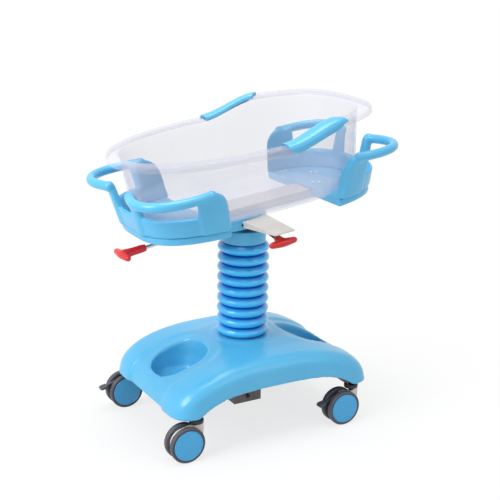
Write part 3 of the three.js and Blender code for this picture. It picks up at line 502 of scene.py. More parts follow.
class SurfaceGroups:
    """Shader node groups shared by the finishes, each built once."""

    GRAIN = "moulded grain"
    SCRATCHES = "fine scratches"
    FOLDS = "fold depth"

    @staticmethod
    def _start(
        name: str, inputs: dict[str, str], outputs: dict[str, str]
    ) -> tuple[NodeTree, Node, Node]:
        """Starts a group.

        Args:
            name: its name.
            inputs: the kind of each input socket, by its name.
            outputs: the kind of each output socket, by its name.

        Returns:
            The group, the node that holds its inputs and the node that takes its outputs.
        """
        tree = bpy.data.node_groups.new(name, "ShaderNodeTree")
        for way, sockets in (("INPUT", inputs), ("OUTPUT", outputs)):
            for label, kind in sockets.items():
                tree.interface.new_socket(label, in_out=way, socket_type=f"NodeSocket{kind}")
        return tree, tree.nodes.new("NodeGroupInput"), tree.nodes.new("NodeGroupOutput")

    @classmethod
    def grain(cls) -> NodeTree:
        """The surface of a moulding.

        Returns:
            A group that gives a slowly drifting colour, a cloudy roughness and a fine height.
        """
        if cls.GRAIN in bpy.data.node_groups:
            return bpy.data.node_groups[cls.GRAIN]
        tree, given, result = cls._start(
            cls.GRAIN,
            {
                "Place": "Vector", "Colour": "Color", "Tint": "Color", "Drift Scale": "Float",
                "Grain Scale": "Float", "Gloss Low": "Float", "Gloss High": "Float",
            },
            {"Colour": "Color", "Roughness": "Float", "Height": "Float"},
        )
        taken = given.outputs
        drift = add(tree, "TexNoise", {
            "Vector": taken["Place"], "Scale": taken["Drift Scale"], "Detail": 3.0,
        })
        spread = add(tree, "MapRange", {
            "Value": drift.outputs["Fac"], "From Min": 0.3, "From Max": 0.7,
        })
        blend = add(tree, "Mix", {
            "Factor": spread.outputs["Result"], "A": taken["Colour"], "B": taken["Tint"],
        }, data_type="RGBA")
        grain = add(tree, "TexNoise", {
            "Vector": taken["Place"], "Scale": taken["Grain Scale"], "Detail": 5.0,
        })
        gloss = add(tree, "MapRange", {
            "Value": grain.outputs["Fac"], "To Min": taken["Gloss Low"],
            "To Max": taken["Gloss High"],
        })
        feed(result, {
            "Colour": blend.outputs["Result"], "Roughness": gloss.outputs["Result"],
            "Height": grain.outputs["Fac"],
        })
        return tree

    @classmethod
    def scratches(cls) -> NodeTree:
        """Thin marks drawn out along one direction.

        Returns:
            A group that gives them as a mask.
        """
        if cls.SCRATCHES in bpy.data.node_groups:
            return bpy.data.node_groups[cls.SCRATCHES]
        tree, given, result = cls._start(
            cls.SCRATCHES,
            {"Place": "Vector", "Stretch": "Vector", "Amount": "Float"},
            {"Mask": "Float"},
        )
        stretch = add(tree, "VectorMath", {
            0: given.outputs["Place"], 1: given.outputs["Stretch"],
        }, operation="MULTIPLY")
        marks = add(tree, "TexNoise", {
            "Vector": stretch.outputs["Vector"], "Scale": 1.0, "Detail": 6.0,
        })
        sharp = add(tree, "MapRange", {
            "Value": marks.outputs["Fac"], "From Min": 0.55, "From Max": 0.75,
        })
        amount = add(tree, "Math", {
            0: sharp.outputs["Result"], 1: given.outputs["Amount"],
        }, operation="MULTIPLY")
        feed(result, {"Mask": amount.outputs["Value"]})
        return tree

    # Its mask places the painted shade in the bellows' folds.
    @classmethod
    def folds(cls) -> NodeTree:
        """How far out from an upright axis a place lies.

        Returns:
            A group that gives it as a mask, from 0 in the valleys to 1 on the ridges.
        """
        if cls.FOLDS in bpy.data.node_groups:
            return bpy.data.node_groups[cls.FOLDS]
        tree, given, result = cls._start(
            cls.FOLDS,
            {"Place": "Vector", "Axis": "Vector", "Valley": "Float", "Ridge": "Float"},
            {"Mask": "Float"},
        )
        away = add(tree, "VectorMath", {
            0: given.outputs["Place"], 1: given.outputs["Axis"],
        }, operation="SUBTRACT")
        level = add(tree, "VectorMath", {
            0: away.outputs["Vector"], 1: (1.0, 1.0, 0.0),
        }, operation="MULTIPLY")
        radius = add(tree, "VectorMath", {0: level.outputs["Vector"]}, operation="LENGTH")
        depth = add(tree, "MapRange", {
            "Value": radius.outputs["Value"], "From Min": given.outputs["Valley"],
            "From Max": given.outputs["Ridge"],
        })
        feed(result, {"Mask": depth.outputs["Result"]})
        return tree


@dataclass(frozen=True)
class Finish:
    """A solid finish: a drifting colour, a cloudy gloss, a fine grain and perhaps scratches."""

    slot: str
    name: str
    colour: Colour
    tint: Colour
    gloss: tuple[float, float]
    grain_scale: float = 900.0
    grain_depth: float = 0.05
    drift_scale: float = 6.0
    metallic: float = 0.0
    coat: float = 0.0
    coat_roughness: float = 0.08
    scratch: float = 0.0
    scratch_stretch: tuple[float, float, float] = (40.0, 900.0, 900.0)
    scratch_colour: Colour = (0.6, 0.6, 0.6)

    def material(self) -> Material:
        """The finish's material, made once.

        Returns:
            The material.
        """
        if self.name in bpy.data.materials:
            return bpy.data.materials[self.name]
        made = bpy.data.materials.new(self.name)
        made.use_nodes = True
        self._wire(made.node_tree)
        return made

    def _wire(self, tree: NodeTree) -> None:
        """Wires the material.

        Args:
            tree: the new material's nodes.
        """
        place = add(tree, "TexCoord", {}).outputs["Object"]
        grain = add(tree, "Group", {
            "Place": place, "Colour": (*self.colour, 1.0), "Tint": (*self.tint, 1.0),
            "Drift Scale": self.drift_scale, "Grain Scale": self.grain_scale,
            "Gloss Low": self.gloss[0], "Gloss High": self.gloss[1],
        }, node_tree=SurfaceGroups.grain())
        colour = grain.outputs["Colour"]
        if self.scratch > 0.0:
            colour = self._scratched(tree, place, colour)
        bump = add(tree, "Bump", {
            "Strength": self.grain_depth, "Distance": MILLIMETRE,
            "Height": grain.outputs["Height"],
        })
        feed(tree.nodes["Principled BSDF"], {
            "Metallic": self.metallic, "Coat Weight": self.coat,
            "Coat Roughness": self.coat_roughness, "Base Color": colour,
            "Roughness": grain.outputs["Roughness"], "Normal": bump.outputs["Normal"],
        })

    def _scratched(self, tree: NodeTree, place: NodeSocket, colour: NodeSocket) -> NodeSocket:
        """Lays scratches over a colour.

        Args:
            tree: the material's nodes.
            place: its object coordinates.
            colour: the colour so far.

        Returns:
            The colour with scratches.
        """
        marks = add(tree, "Group", {
            "Place": place, "Stretch": self.scratch_stretch, "Amount": self.scratch,
        }, node_tree=SurfaceGroups.scratches())
        over = add(tree, "Mix", {
            "Factor": marks.outputs["Mask"], "A": colour, "B": (*self.scratch_colour, 1.0),
        }, data_type="RGBA")
        return over.outputs["Result"]


@dataclass(frozen=True)
class ClearFinish(Finish):
    """A clear plastic that is whiter where it is seen edge on: partly the longer path through its
    wall, partly a painted reflection.
    """

    thin: float = 0.145
    thick: float = 0.48
    edge_power: float = 2.6
    ior: float = 1.49

    def _wire(self, tree: NodeTree) -> None:
        """Wires the material.

        Args:
            tree: the new material's nodes.
        """
        super()._wire(tree)
        # The cover rises where the surface is seen edge on: partly the longer path through the
        # wall, partly painted reflection.
        edge = add(tree, "LayerWeight", {"Blend": 0.5})
        power = add(tree, "Math", {
            0: edge.outputs["Facing"], 1: self.edge_power,
        }, operation="POWER")
        cover = add(tree, "MapRange", {
            "Value": power.outputs["Value"], "To Min": self.thin, "To Max": self.thick,
        })
        feed(tree.nodes["Principled BSDF"], {"IOR": self.ior, "Alpha": cover.outputs["Result"]})


@dataclass(frozen=True)
class FoldShadeFinish(Finish):
    """A rubber whose colour is painted darker down into the folds round an upright axis: painted
    shade in the valleys.
    """

    axis: tuple[float, float, float] = (column_axis(), 0.0, 0.0)
    valley: float = 0.061
    ridge: float = 0.072
    # Painted shade: the colour laid into the valleys of the folds.
    fold_shade_colour: Colour = srgb(8, 92, 196)

    def _wire(self, tree: NodeTree) -> None:
        """Wires the material.

        Args:
            tree: the new material's nodes.
        """
        super()._wire(tree)
        shader = tree.nodes["Principled BSDF"]
        outer = shader.inputs["Base Color"].links[0].from_socket
        fold = add(tree, "Group", {
            "Place": add(tree, "TexCoord", {}).outputs["Object"], "Axis": self.axis,
            "Valley": self.valley, "Ridge": self.ridge,
        }, node_tree=SurfaceGroups.folds())
        # Painted shade: the colour darkens from the ridges down into the valleys.
        mix = add(tree, "Mix", {
            "Factor": fold.outputs["Mask"], "A": (*self.fold_shade_colour, 1.0), "B": outer,
        }, data_type="RGBA")
        feed(shader, {"Base Color": mix.outputs["Result"]})


SKY_PLASTIC = Finish(
    "blue_plastic", "sky blue moulding", srgb(80, 176, 219), srgb(74, 170, 215), (0.26, 0.4),
    coat=0.2,
)
CAP_PLASTIC = Finish(
    "blue_plastic", "wheel cap blue", srgb(58, 164, 218), srgb(52, 158, 213), (0.25, 0.38),
    coat=0.2,
)
# The bellows' folds get painted shade, darker towards the valleys.
BELLOWS_RUBBER = FoldShadeFinish(
    "bellows_rubber", "bellows blue", srgb(60, 188, 244), srgb(52, 180, 240), (0.16, 0.28),
    coat=0.4, grain_depth=0.04,
)
CLEAR_TUB = ClearFinish(
    "clear_plastic", "clear tub", srgb(192, 193, 209), srgb(199, 200, 215), (0.08, 0.15),
    grain_depth=0.01,
)
RED_PLASTIC = Finish(
    "red_plastic", "lever red", srgb(208, 20, 16), srgb(198, 14, 13), (0.24, 0.34),
    coat=0.12, grain_depth=0.004,
)
WHITE_COAT = Finish(
    "white_steel", "off-white powder coat", srgb(214, 209, 202), srgb(207, 202, 195), (0.35, 0.5),
    grain_scale=1400.0, grain_depth=0.12,
)
GREY_COAT = Finish(
    "grey_steel", "grey steel paint", srgb(112, 104, 104), srgb(98, 92, 92), (0.35, 0.5),
    metallic=0.4, scratch=0.25, scratch_colour=srgb(150, 146, 146),
)
BRIGHT_STEEL = Finish(
    "bright_steel", "plated steel", srgb(196, 198, 202), srgb(182, 184, 190), (0.18, 0.32),
    metallic=1.0, scratch=0.2, scratch_colour=srgb(225, 226, 230),
)
DARK_STEEL = Finish(
    "dark_steel", "dark steel", srgb(46, 46, 50), srgb(36, 36, 40), (0.3, 0.45),
    metallic=0.6, scratch=0.15, scratch_colour=srgb(110, 110, 116),
)
TYRE_RUBBER = Finish(
    "tyre_rubber", "grey tyre", srgb(78, 78, 88), srgb(66, 66, 76), (0.42, 0.6),
    grain_scale=600.0, grain_depth=0.15, drift_scale=25.0,
)
BLACK_PLASTIC = Finish(
    "black_plastic", "black plastic", srgb(40, 40, 46), srgb(30, 30, 36), (0.35, 0.5)
)
HOOD_PLASTIC = Finish(
    "hood_plastic", "caster hood grey", srgb(222, 216, 210), srgb(214, 208, 202), (0.3, 0.45)
)


def dress(
    piece: Object, finish: Finish, body: str | None, *nodes: str, sharp: float = 180.0
) -> Object:
    """Finishes a piece and sets it on its body.

    Args:
        piece: the piece, in the row frame.
        finish: its finish.
        body: the body it moves with, or None for a piece that is set on no body.
        nodes: the CAD nodes it stands for.
        sharp: edges steeper than this stay sharp, in degrees.

    Returns:
        The piece.
    """
    mesh = piece.data
    mesh.materials.clear()
    mesh.materials.append(finish.material())
    mesh.shade_smooth()
    if sharp < 180.0:
        mesh.set_sharp_from_angle(angle=math.radians(sharp))
    if body:
        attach(piece, body)
    if nodes:
        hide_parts(*nodes)
    LOG.info("%s: %d faces on %s", piece.name, len(mesh.polygons), body)
    return piece


@dataclass
class BaseCover:
    """The moulded base cover with its crowned top, arched sides and two pockets."""

    length: float = 620.0
    width: float = 448.0
    squareness: float = 8.0
    top: float = 247.0
    end_drop: float = 84.0
    crown_squareness: float = 2.8
    side_drop: float = 12.0
    fillet: float = 38.0
    waist: float = 16.0
    wall: float = 8.0
    lip: float = 1.6
    flare: float = 4.0
    skirt_low: float = 113.0
    rim_width: float = 4.0
    plug_step: float = 6.0
    plug_drop: float = 13.0
    hollow_low: float = 60.0
    arch_rise: float = 47.0
    arch_span: float = 494.0
    arch_squareness: float = 4.5
    seat_radius: float = 83.0
    seat_width: float = 10.0
    seat_rise: float = 4.0
    bore: float = 46.0
    bore_range: tuple[float, float] = (100.0, 300.0)
    pocket_x: float = 203.0
    pocket_length: float = 156.0
    pocket_width: float = 152.0
    pocket_roundness: float = 2.5
    pocket_taper: float = 9.0
    pocket_floor: float = 144.9
    pocket_rounding: float = 6.0
    pocket_shoulder: float = 40.0
    crown_blend: float = 0.5
    terrace_reach: float = 34.0
    terrace_depth: float = 7.0
    terrace_edge: tuple[float, float] = (0.94, 1.0)
    points: int = 240
    pocket_points: int = 96
    pocket_rows: int = 5
    bore_points: int = 64
    crown_rows: int = 30
    fillet_rows: int = 10
    skirt_rows: int = 8
    skin_voxel: float = 3.6
    skin_rounds: int = 13

    def terrace(self, x: float, y: float) -> float:
        """How far a place lies inside the sunk part of an end.

        The sunk part runs round the pocket and out between the legs.

        Args:
            x: the place along the base.
            y: the place across it.

        Returns:
            1 on the sunk part, 0 off it.
        """
        roundness = self.pocket_roundness
        inwards = max(0.0, self.pocket_x - abs(x))
        dx = inwards / (self.pocket_length / 2.0 + self.terrace_reach)
        dy = abs(y) / (self.pocket_width / 2.0 + self.terrace_reach)
        reach = (dx**roundness + dy**roundness) ** (1.0 / roundness)
        return 1.0 - smoothstep(reach, *self.terrace_edge)

    def crown(self, x: float, y: float) -> float:
        """The height of the crown.

        Args:
            x: the place along the base.
            y: the place across it.

        Returns:
            The height there.
        """
        along = x / (self.length / 2.0)
        across = y / (self.width / 2.0)
        height = self.top - self.seat_rise - self.end_drop * abs(along) ** self.crown_squareness
        return height - self.side_drop * across**2 * (1.0 - along**2)

    def arch(self, x: float) -> float:
        """Args: x: a place along the side. Returns: the height of the skirt's lower edge."""
        share = min(1.0, abs(2.0 * x / self.arch_span))
        return self.skirt_low + self.arch_rise * (1.0 - share**self.arch_squareness)

    def ring(
        self, offset: float, height: Callable[[float, float], float], turn: float = QUARTER_TURN
    ) -> list[Vector]:
        """A ring of the cover.

        Args:
            offset: how far out from the plan.
            height: the height at a place.
            turn: how far the surface has turned over, from level at 0 to upright.

        Returns:
            The ring, with the sunk part of each end drawn in.
        """
        length, width = self.length + 2.0 * offset, self.width + 2.0 * offset
        places = []
        for angle in turns(self.points):
            p = oval_point(length, width, self.squareness, angle)
            drawn_in = self.waist * (1.0 - (2.0 * p.x / self.length) ** 2)
            y = p.y * (1.0 - drawn_in / (self.width / 2.0))
            sunk = self.terrace_depth * self.terrace(p.x, y)
            x = p.x - math.copysign(sunk * math.sin(turn), p.x)
            places.append(Vector((x, y, height(p.x, y) - sunk * math.cos(turn))))
        return places

    def rows(self, wall: float) -> list[list[Vector]]:
        """The rings of the cover's surface.

        Args:
            wall: how far the surface is drawn in.

        Returns:
            Its rings from the column's seat to the skirt's foot.
        """
        seat = (
            (self.seat_radius, self.top - wall),
            (self.seat_radius + self.seat_width, self.top - self.seat_rise - wall),
        )
        rings = [
            [Vector((r * math.cos(a), r * math.sin(a), z)) for a in turns(self.points)]
            for r, z in seat
        ]
        inner = rings[-1]
        edge = self.ring(-self.fillet - wall, lambda x, y: 0.0, turn=0.0)
        for share in steps(0.0, 1.0, self.crown_rows)[1:]:
            rise = smoothstep(share, 0.0, self.crown_blend)
            places = []
            for start, end in zip(inner, edge):
                x = start.x + (end.x - start.x) * share
                y = start.y + (end.y - start.y) * share
                level = start.z * (1.0 - rise) + (self.crown(x, y) - wall) * rise
                sunk = self.terrace_depth * self.terrace(x, y) * rise
                places.append(Vector((x, y, level - sunk)))
            rings.append(places)
        for turn in steps(0.0, QUARTER_TURN, self.fillet_rows)[1:]:
            inset = self.fillet * (1.0 - math.sin(turn)) + wall
            drop = self.fillet * (1.0 - math.cos(turn)) + wall
            rings.append(self.ring(-inset, lambda x, y: self.crown(x, y) - drop, turn))
        foot = self.ring(self.flare - self.lip * wall, lambda x, y: self.arch(x))
        return rings + between(rings[-1], foot, self.skirt_rows)

    def pocket_ring(self, end: End, offset: float, z: float) -> list[Vector]:
        """A ring of a pocket.

        Args:
            end: which end of the base.
            offset: how far out from the pocket's rim.
            z: its height.

        Returns:
            The ring.
        """
        length, width = self.pocket_length + 2.0 * offset, self.pocket_width + 2.0 * offset
        middle = Vector((end.value * self.pocket_x, 0.0, z))
        return [
            oval_point(length, width, self.pocket_roundness, a) + middle
            for a in turns(self.pocket_points)
        ]

    def pocket(self, end: End, wall: float, floor: float) -> BMesh:
        """The filled form of a pocket.

        Args:
            end: which end of the base.
            wall: how much wider it is than the pocket.
            floor: its lowest height.

        Returns:
            The closed mesh.
        """
        taper, radius = self.pocket_taper, self.pocket_rounding
        section = [
            (wall - 2.0 * taper + radius * math.sin(t), floor + radius * (1.0 - math.cos(t)))
            for t in steps(0.0, QUARTER_TURN, self.pocket_rows)
        ]
        section += [(wall - taper / 2.0, floor + self.pocket_shoulder), (wall, self.top + 1.0)]
        return Loft.through([self.pocket_ring(end, offset, z) for offset, z in section])

    def build(self) -> None:
        """Builds the cover: a filled form, hollowed from below, with its pockets and bore."""
        inside = self.flare - self.lip * self.wall - self.rim_width
        rim = self.ring(inside, lambda x, y: self.arch(x))
        plug = self.ring(inside - self.plug_step, lambda x, y: self.skirt_low - self.plug_drop)
        cover = as_object(Loft.through([*self.rows(0.0), rim, plug]), "base_cover_skin")
        below = self.ring(-self.wall * self.lip, lambda x, y: self.hollow_low)
        hollow = as_object(Loft.through([*self.rows(self.wall), below]), "hollow")
        for end in End:
            carve(hollow, self.pocket(end, self.wall, self.pocket_floor - self.wall))
        tool = bmesh.new()
        tool.from_mesh(hollow.data)
        bpy.data.objects.remove(hollow)
        carve(cover, tool)
        for end in End:
            carve(cover, self.pocket(end, 0.0, self.pocket_floor))
        low, high = self.bore_range
        bore = [(0.0, low), (self.bore, low), (self.bore, high), (0.0, high)]
        carve(cover, spun(bore, self.bore_points))
        melt(cover, self.skin_voxel, self.skin_rounds)
        cover.data.transform(ON_BASE)
        dress(cover, SKY_PLASTIC, "base", "base_cover")


@dataclass
class Bellows:
    """The ribbed bellows round the column and the smooth sleeve above it."""

    foot: float = 247.3
    top: float = 520.0
    radius: float = 73.0
    bore: float = 56.0
    ribs: int = 9
    depth: float = 14.0
    fullness: float = 0.75
    rows: int = 16
    sleeve_gap: float = 0.3
    sleeve_top: float = 558.0
    sleeve_radius: float = 62.5
    sleeve_wall: float = 3.0
    slot_half: tuple[float, float] = (20.5, 30.5)
    slot_range: tuple[float, float] = (540.0, 570.0)
    segments: int = 96

    def skin(self) -> None:
        """Builds the bellows between the base and the column, on no body of its own."""
        pitch = (self.top - self.foot) / self.ribs
        profile = [(self.bore, self.foot)]
        for turn in steps(0.0, float(self.ribs), self.ribs * self.rows):
            swell = abs(math.sin(math.pi * turn)) ** self.fullness
            radius = self.radius - self.depth + self.depth * swell
            profile.append((radius, self.foot + pitch * turn))
        profile += [(self.bore, self.top), (self.bore, self.foot)]
        skin = as_object(spun(profile, self.segments), "bellows_skin")
        skin.data.transform(ON_BASE)
        dress(skin, BELLOWS_RUBBER, None, "bellows", sharp=65.0)
        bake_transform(skin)

    def sleeve(self) -> None:
        """Builds the sleeve, with a slot in its top for the column's head."""
        outer, top = self.sleeve_radius, self.sleeve_top
        inner, under = outer - self.sleeve_wall, top - self.sleeve_wall
        low = self.top + self.sleeve_gap
        sleeve = as_object(spun([
            (0.0, under), (inner, under), (inner, low), (outer - 1.0, low), (outer, low + 1.0),
            (outer, top - 4.0), (outer - 1.2, top - 1.2), (outer - 4.0, top), (0.0, top),
        ], self.segments), "column_sleeve_skin")
        (x, y), (bottom, lid) = self.slot_half, self.slot_range
        carve(sleeve, block((-x, -y, bottom), (x, y, lid)))
        sleeve.data.transform(ON_BASE)
        dress(sleeve, SKY_PLASTIC, "column", "column_sleeve", sharp=40.0)

    def build(self) -> None:
        """Builds the bellows and the sleeve."""
        self.skin()
        self.sleeve()


@dataclass
class PivotShroud:
    """The collar on the carrier that hides the tilt pivot above the sleeve."""

    length: float = 172.0
    width: float = 120.0
    squareness: float = 2.3
    middle: float = -26.0
    wall: float = 3.0
    low: float = -27.0
    high: float = 16.0
    slot_half: float = 11.0
    points: int = 96

    def ring(self, inset: float, z: float) -> list[Vector]:
        """A ring of the collar.

        Args:
            inset: how far in from its outside.
            z: its height.

        Returns:
            The ring.
        """
        length, width = self.length - 2.0 * inset, self.width - 2.0 * inset
        middle = Vector((self.middle, 0.0, z))
        return [oval_point(length, width, self.squareness, a) + middle for a in turns(self.points)]

    def build(self) -> None:
        """Builds the collar with a slot for each release lever."""
        low, high, wall = self.low, self.high, self.wall
        section = [
            (wall, low), (1.0, low), (0.0, low + 1.0), (0.0, high - 1.0), (1.0, high), (wall, high)
        ]
        rings = [self.ring(inset, z) for inset, z in section]
        shroud = as_object(Loft.through(rings, closed=True), "pivot_shroud")
        half, reach = self.slot_half, self.length
        for slot in (
            block((-half, -reach, -reach), (half, 0.0, 0.0)),
            block((-reach, -half, -reach), (0.0, half, 0.0)),
        ):
            carve(shroud, slot)
        shroud.data.transform(ON_CARRIER)
        dress(shroud, SKY_PLASTIC, "carrier", sharp=40.0)


@dataclass
class Tub:
    """The clear tub with its rolled rim and its floor studs, and the two grips on the rim.

    The sections give how far out from the rim's plan a point lies, and its height: over the pivot,
    or over the top of the rim for the roll and the grips.
    """

    FOOT = ((-94.0, 36.3), (-89.0, 36.6), (-85.0, 38.0), (-82.0, 40.5))
    WALL_FOOT = (-80.0, 43.3)
    STEP = ((-56.0, 74.6), (-52.5, 76.0), (-50.2, 79.0))
    UNDER_ROLL = (-36.0, -19.0)
    ROLL = (
        (-34.0, -9.0), (-32.6, -5.6), (-30.0, -4.4), (-18.0, -5.4), (-8.0, -6.4), (-5.2, -7.4),
        (-4.0, -9.5), (-4.0, -18.2), (-3.2, -19.0), (-0.8, -19.0), (0.0, -18.0), (0.0, -9.0),
        (-0.8, -5.6), (-2.8, -2.9), (-6.5, -1.1), (-14.0, 0.0), (-24.0, 0.0), (-29.5, -0.6),
        (-33.2, -2.6), (-35.6, -6.5), (-37.4, -11.5), (-40.0, -19.0),
    )
    INNER_TOP = (-54.2, 82.0)
    INNER_STEP = ((-56.5, 79.6), (-60.0, 78.4))
    INNER_WALL_HEAD = (-63.2, 76.3)
    INNER_FOOT = ((-86.0, 44.4), (-89.0, 42.0), (-93.0, 40.6), (-98.0, 40.3))
    STUD = ((0.0, 0.0), (4.2, 0.0), (3.8, 1.2), (2.6, 1.9), (0.0, 2.1))
    STUD_PLACES = ((231.0, 144.0), (272.0, 72.0), (284.0, 60.0), (222.0, -15.0), (235.0, -28.0))
    GRIP = (
        (5.0, -21.0), (6.2, -14.0), (6.5, -9.0), (5.4, -3.0), (2.0, 2.2), (-4.0, 4.8),
        (-12.0, 6.0), (-22.0, 6.0), (-30.0, 5.0), (-34.8, 2.4), (-36.8, -2.0), (-37.4, -7.0),
        (-36.0, -5.0), (-33.4, 1.5), (-20.0, 1.5), (-8.0, 1.4), (1.4, -6.3), (1.4, -20.0),
        (3.0, -21.6),
    )
    GRIP_MIDDLE = (-16.0, 2.0)

    length: float = 738.0
    width: float = 486.0
    foot_squareness: float = 2.15
    head_squareness: float = 3.2
    foot_height: float = 230.0
    head_rise: float = 36.0
    ramp: tuple[float, float] = (17.0, 200.0)
    floor: float = 40.3
    wall_run: float = 20.8
    wall_rise: float = 29.0
    points: int = 220
    wall_rows: int = 8
    low_wall_rows: int = 4
    stud_points: int = 24
    grip_rows: int = 60
    grip_seat: float = 1.5
    grip_rounding: float = 0.035
    grip_end: float = 0.82
    skirt_top: float = -6.3
    skirt_taper: float = 0.16
    skirt_end: float = 0.12

    def plan(self, angle: float, offset: float) -> Vector:
        """Args: angle: a direction. offset: out from the rim. Returns: the point of the plan."""
        squareness = self.foot_squareness if math.cos(angle) < 0.0 else self.head_squareness
        return oval_point(self.length + 2.0 * offset, self.width + 2.0 * offset, squareness, angle)

    def rim(self, x: float) -> float:
        """Args: x: a place along the tub. Returns: the height of the rim's top."""
        return self.foot_height + self.head_rise * smoothstep(x, *self.ramp)

    def ring(self, offset: float, height: float, on_rim: bool = False) -> list[Vector]:
        """A ring of the tub.

        Args:
            offset: how far out from the rim's plan.
            height: the ring's height.
            on_rim: whether it counts from the rim's top.

        Returns:
            The ring.
        """
        places = []
        for angle in turns(self.points):
            p = self.plan(angle, offset)
            level = height + (self.rim(self.plan(angle, 0.0).x) if on_rim else 0.0)
            places.append(Vector((p.x, p.y, level)))
        return places

    def shell(self) -> None:
        """Builds the tub: up its outside, over the rolled rim and down its inside."""
        run, rise = self.wall_run, self.wall_rise
        shares = steps(0.0, 1.0, self.low_wall_rows)
        (foot_o, foot_h), (head_o, head_h) = self.WALL_FOOT, self.INNER_WALL_HEAD
        wall = [(foot_o + run * share, foot_h + rise * share) for share in shares]
        inner_wall = [(head_o - run * share, head_h - rise * share) for share in shares]
        rings = [self.ring(o, h) for o, h in [*self.FOOT, *wall, *self.STEP]]
        rings += between(rings[-1], self.ring(*self.UNDER_ROLL, on_rim=True), self.wall_rows)
        rings += [self.ring(o, h, on_rim=True) for o, h in self.ROLL]
        rings += between(rings[-1], self.ring(*self.INNER_TOP), self.wall_rows)
        rings += [self.ring(o, h) for o, h in [*self.INNER_STEP, *inner_wall, *self.INNER_FOOT]]
        tub = as_object(Loft.through(rings), "tub_skin")
        tub.data.transform(ON_CARRIER)
        dress(tub, CLEAR_TUB, "tub", "tub", sharp=60.0)

    def studs(self) -> None:
        """Builds the small studs on the tub's floor near the head."""
        parts = []
        for x, y in self.STUD_PLACES:
            stud = spun(self.STUD, self.stud_points)
            bmesh.ops.translate(stud, verts=stud.verts, vec=(x, y, self.floor))
            parts.append(stud)
        studs = as_object(join(*parts), "tub_floor_studs")
        studs.data.transform(ON_CARRIER)
        dress(studs, WHITE_COAT, "tub", sharp=60.0)

    def grip(self, side: Side) -> None:
        """Builds a grip, whose skirt runs out towards both ends.

        Args:
            side: the side that gets it, over the rim's ramp.
        """
        last, first = (
            math.atan2(oval_reach(self.length, self.width, self.head_squareness, x), x)
            for x in self.ramp
        )
        middle = Vector(self.GRIP_MIDDLE)
        rings = []
        for share in steps(0.0, 1.0, self.grip_rows):
            angle = side.value * (first + (last - first) * share)
            level = self.rim(self.plan(angle, 0.0).x)
            from_end = min(share, 1.0 - share)
            near = min(1.0, from_end / self.grip_rounding)
            keep = self.grip_end + (1.0 - self.grip_end) * math.sqrt(1.0 - (1.0 - near) ** 2)
            full = smoothstep(from_end, 0.0, self.skirt_taper)
            skirt = self.skirt_end + (1.0 - self.skirt_end) * full
            ring = []
            for offset, rise in self.GRIP:
                drawn = Vector((offset, rise))
                if rise > self.grip_seat:
                    drawn = middle + (drawn - middle) * keep
                if offset > 0.0 and rise < self.skirt_top:
                    drawn.y = self.skirt_top + (rise - self.skirt_top) * skirt
                p = self.plan(angle, drawn.x)
                ring.append(Vector((p.x, p.y, level + drawn.y)))
            rings.append(ring)
        name = f"rim_grip_{side.name.lower()}"
        grip = as_object(Loft.through(rings), f"{name}_skin")
        grip.data.transform(ON_CARRIER)
        dress(grip, SKY_PLASTIC, "tub", name, sharp=60.0)

    def build(self) -> None:
        """Builds the tub, its studs and its grips."""
        self.shell()
        self.studs()
        for side in Side:
            self.grip(side)


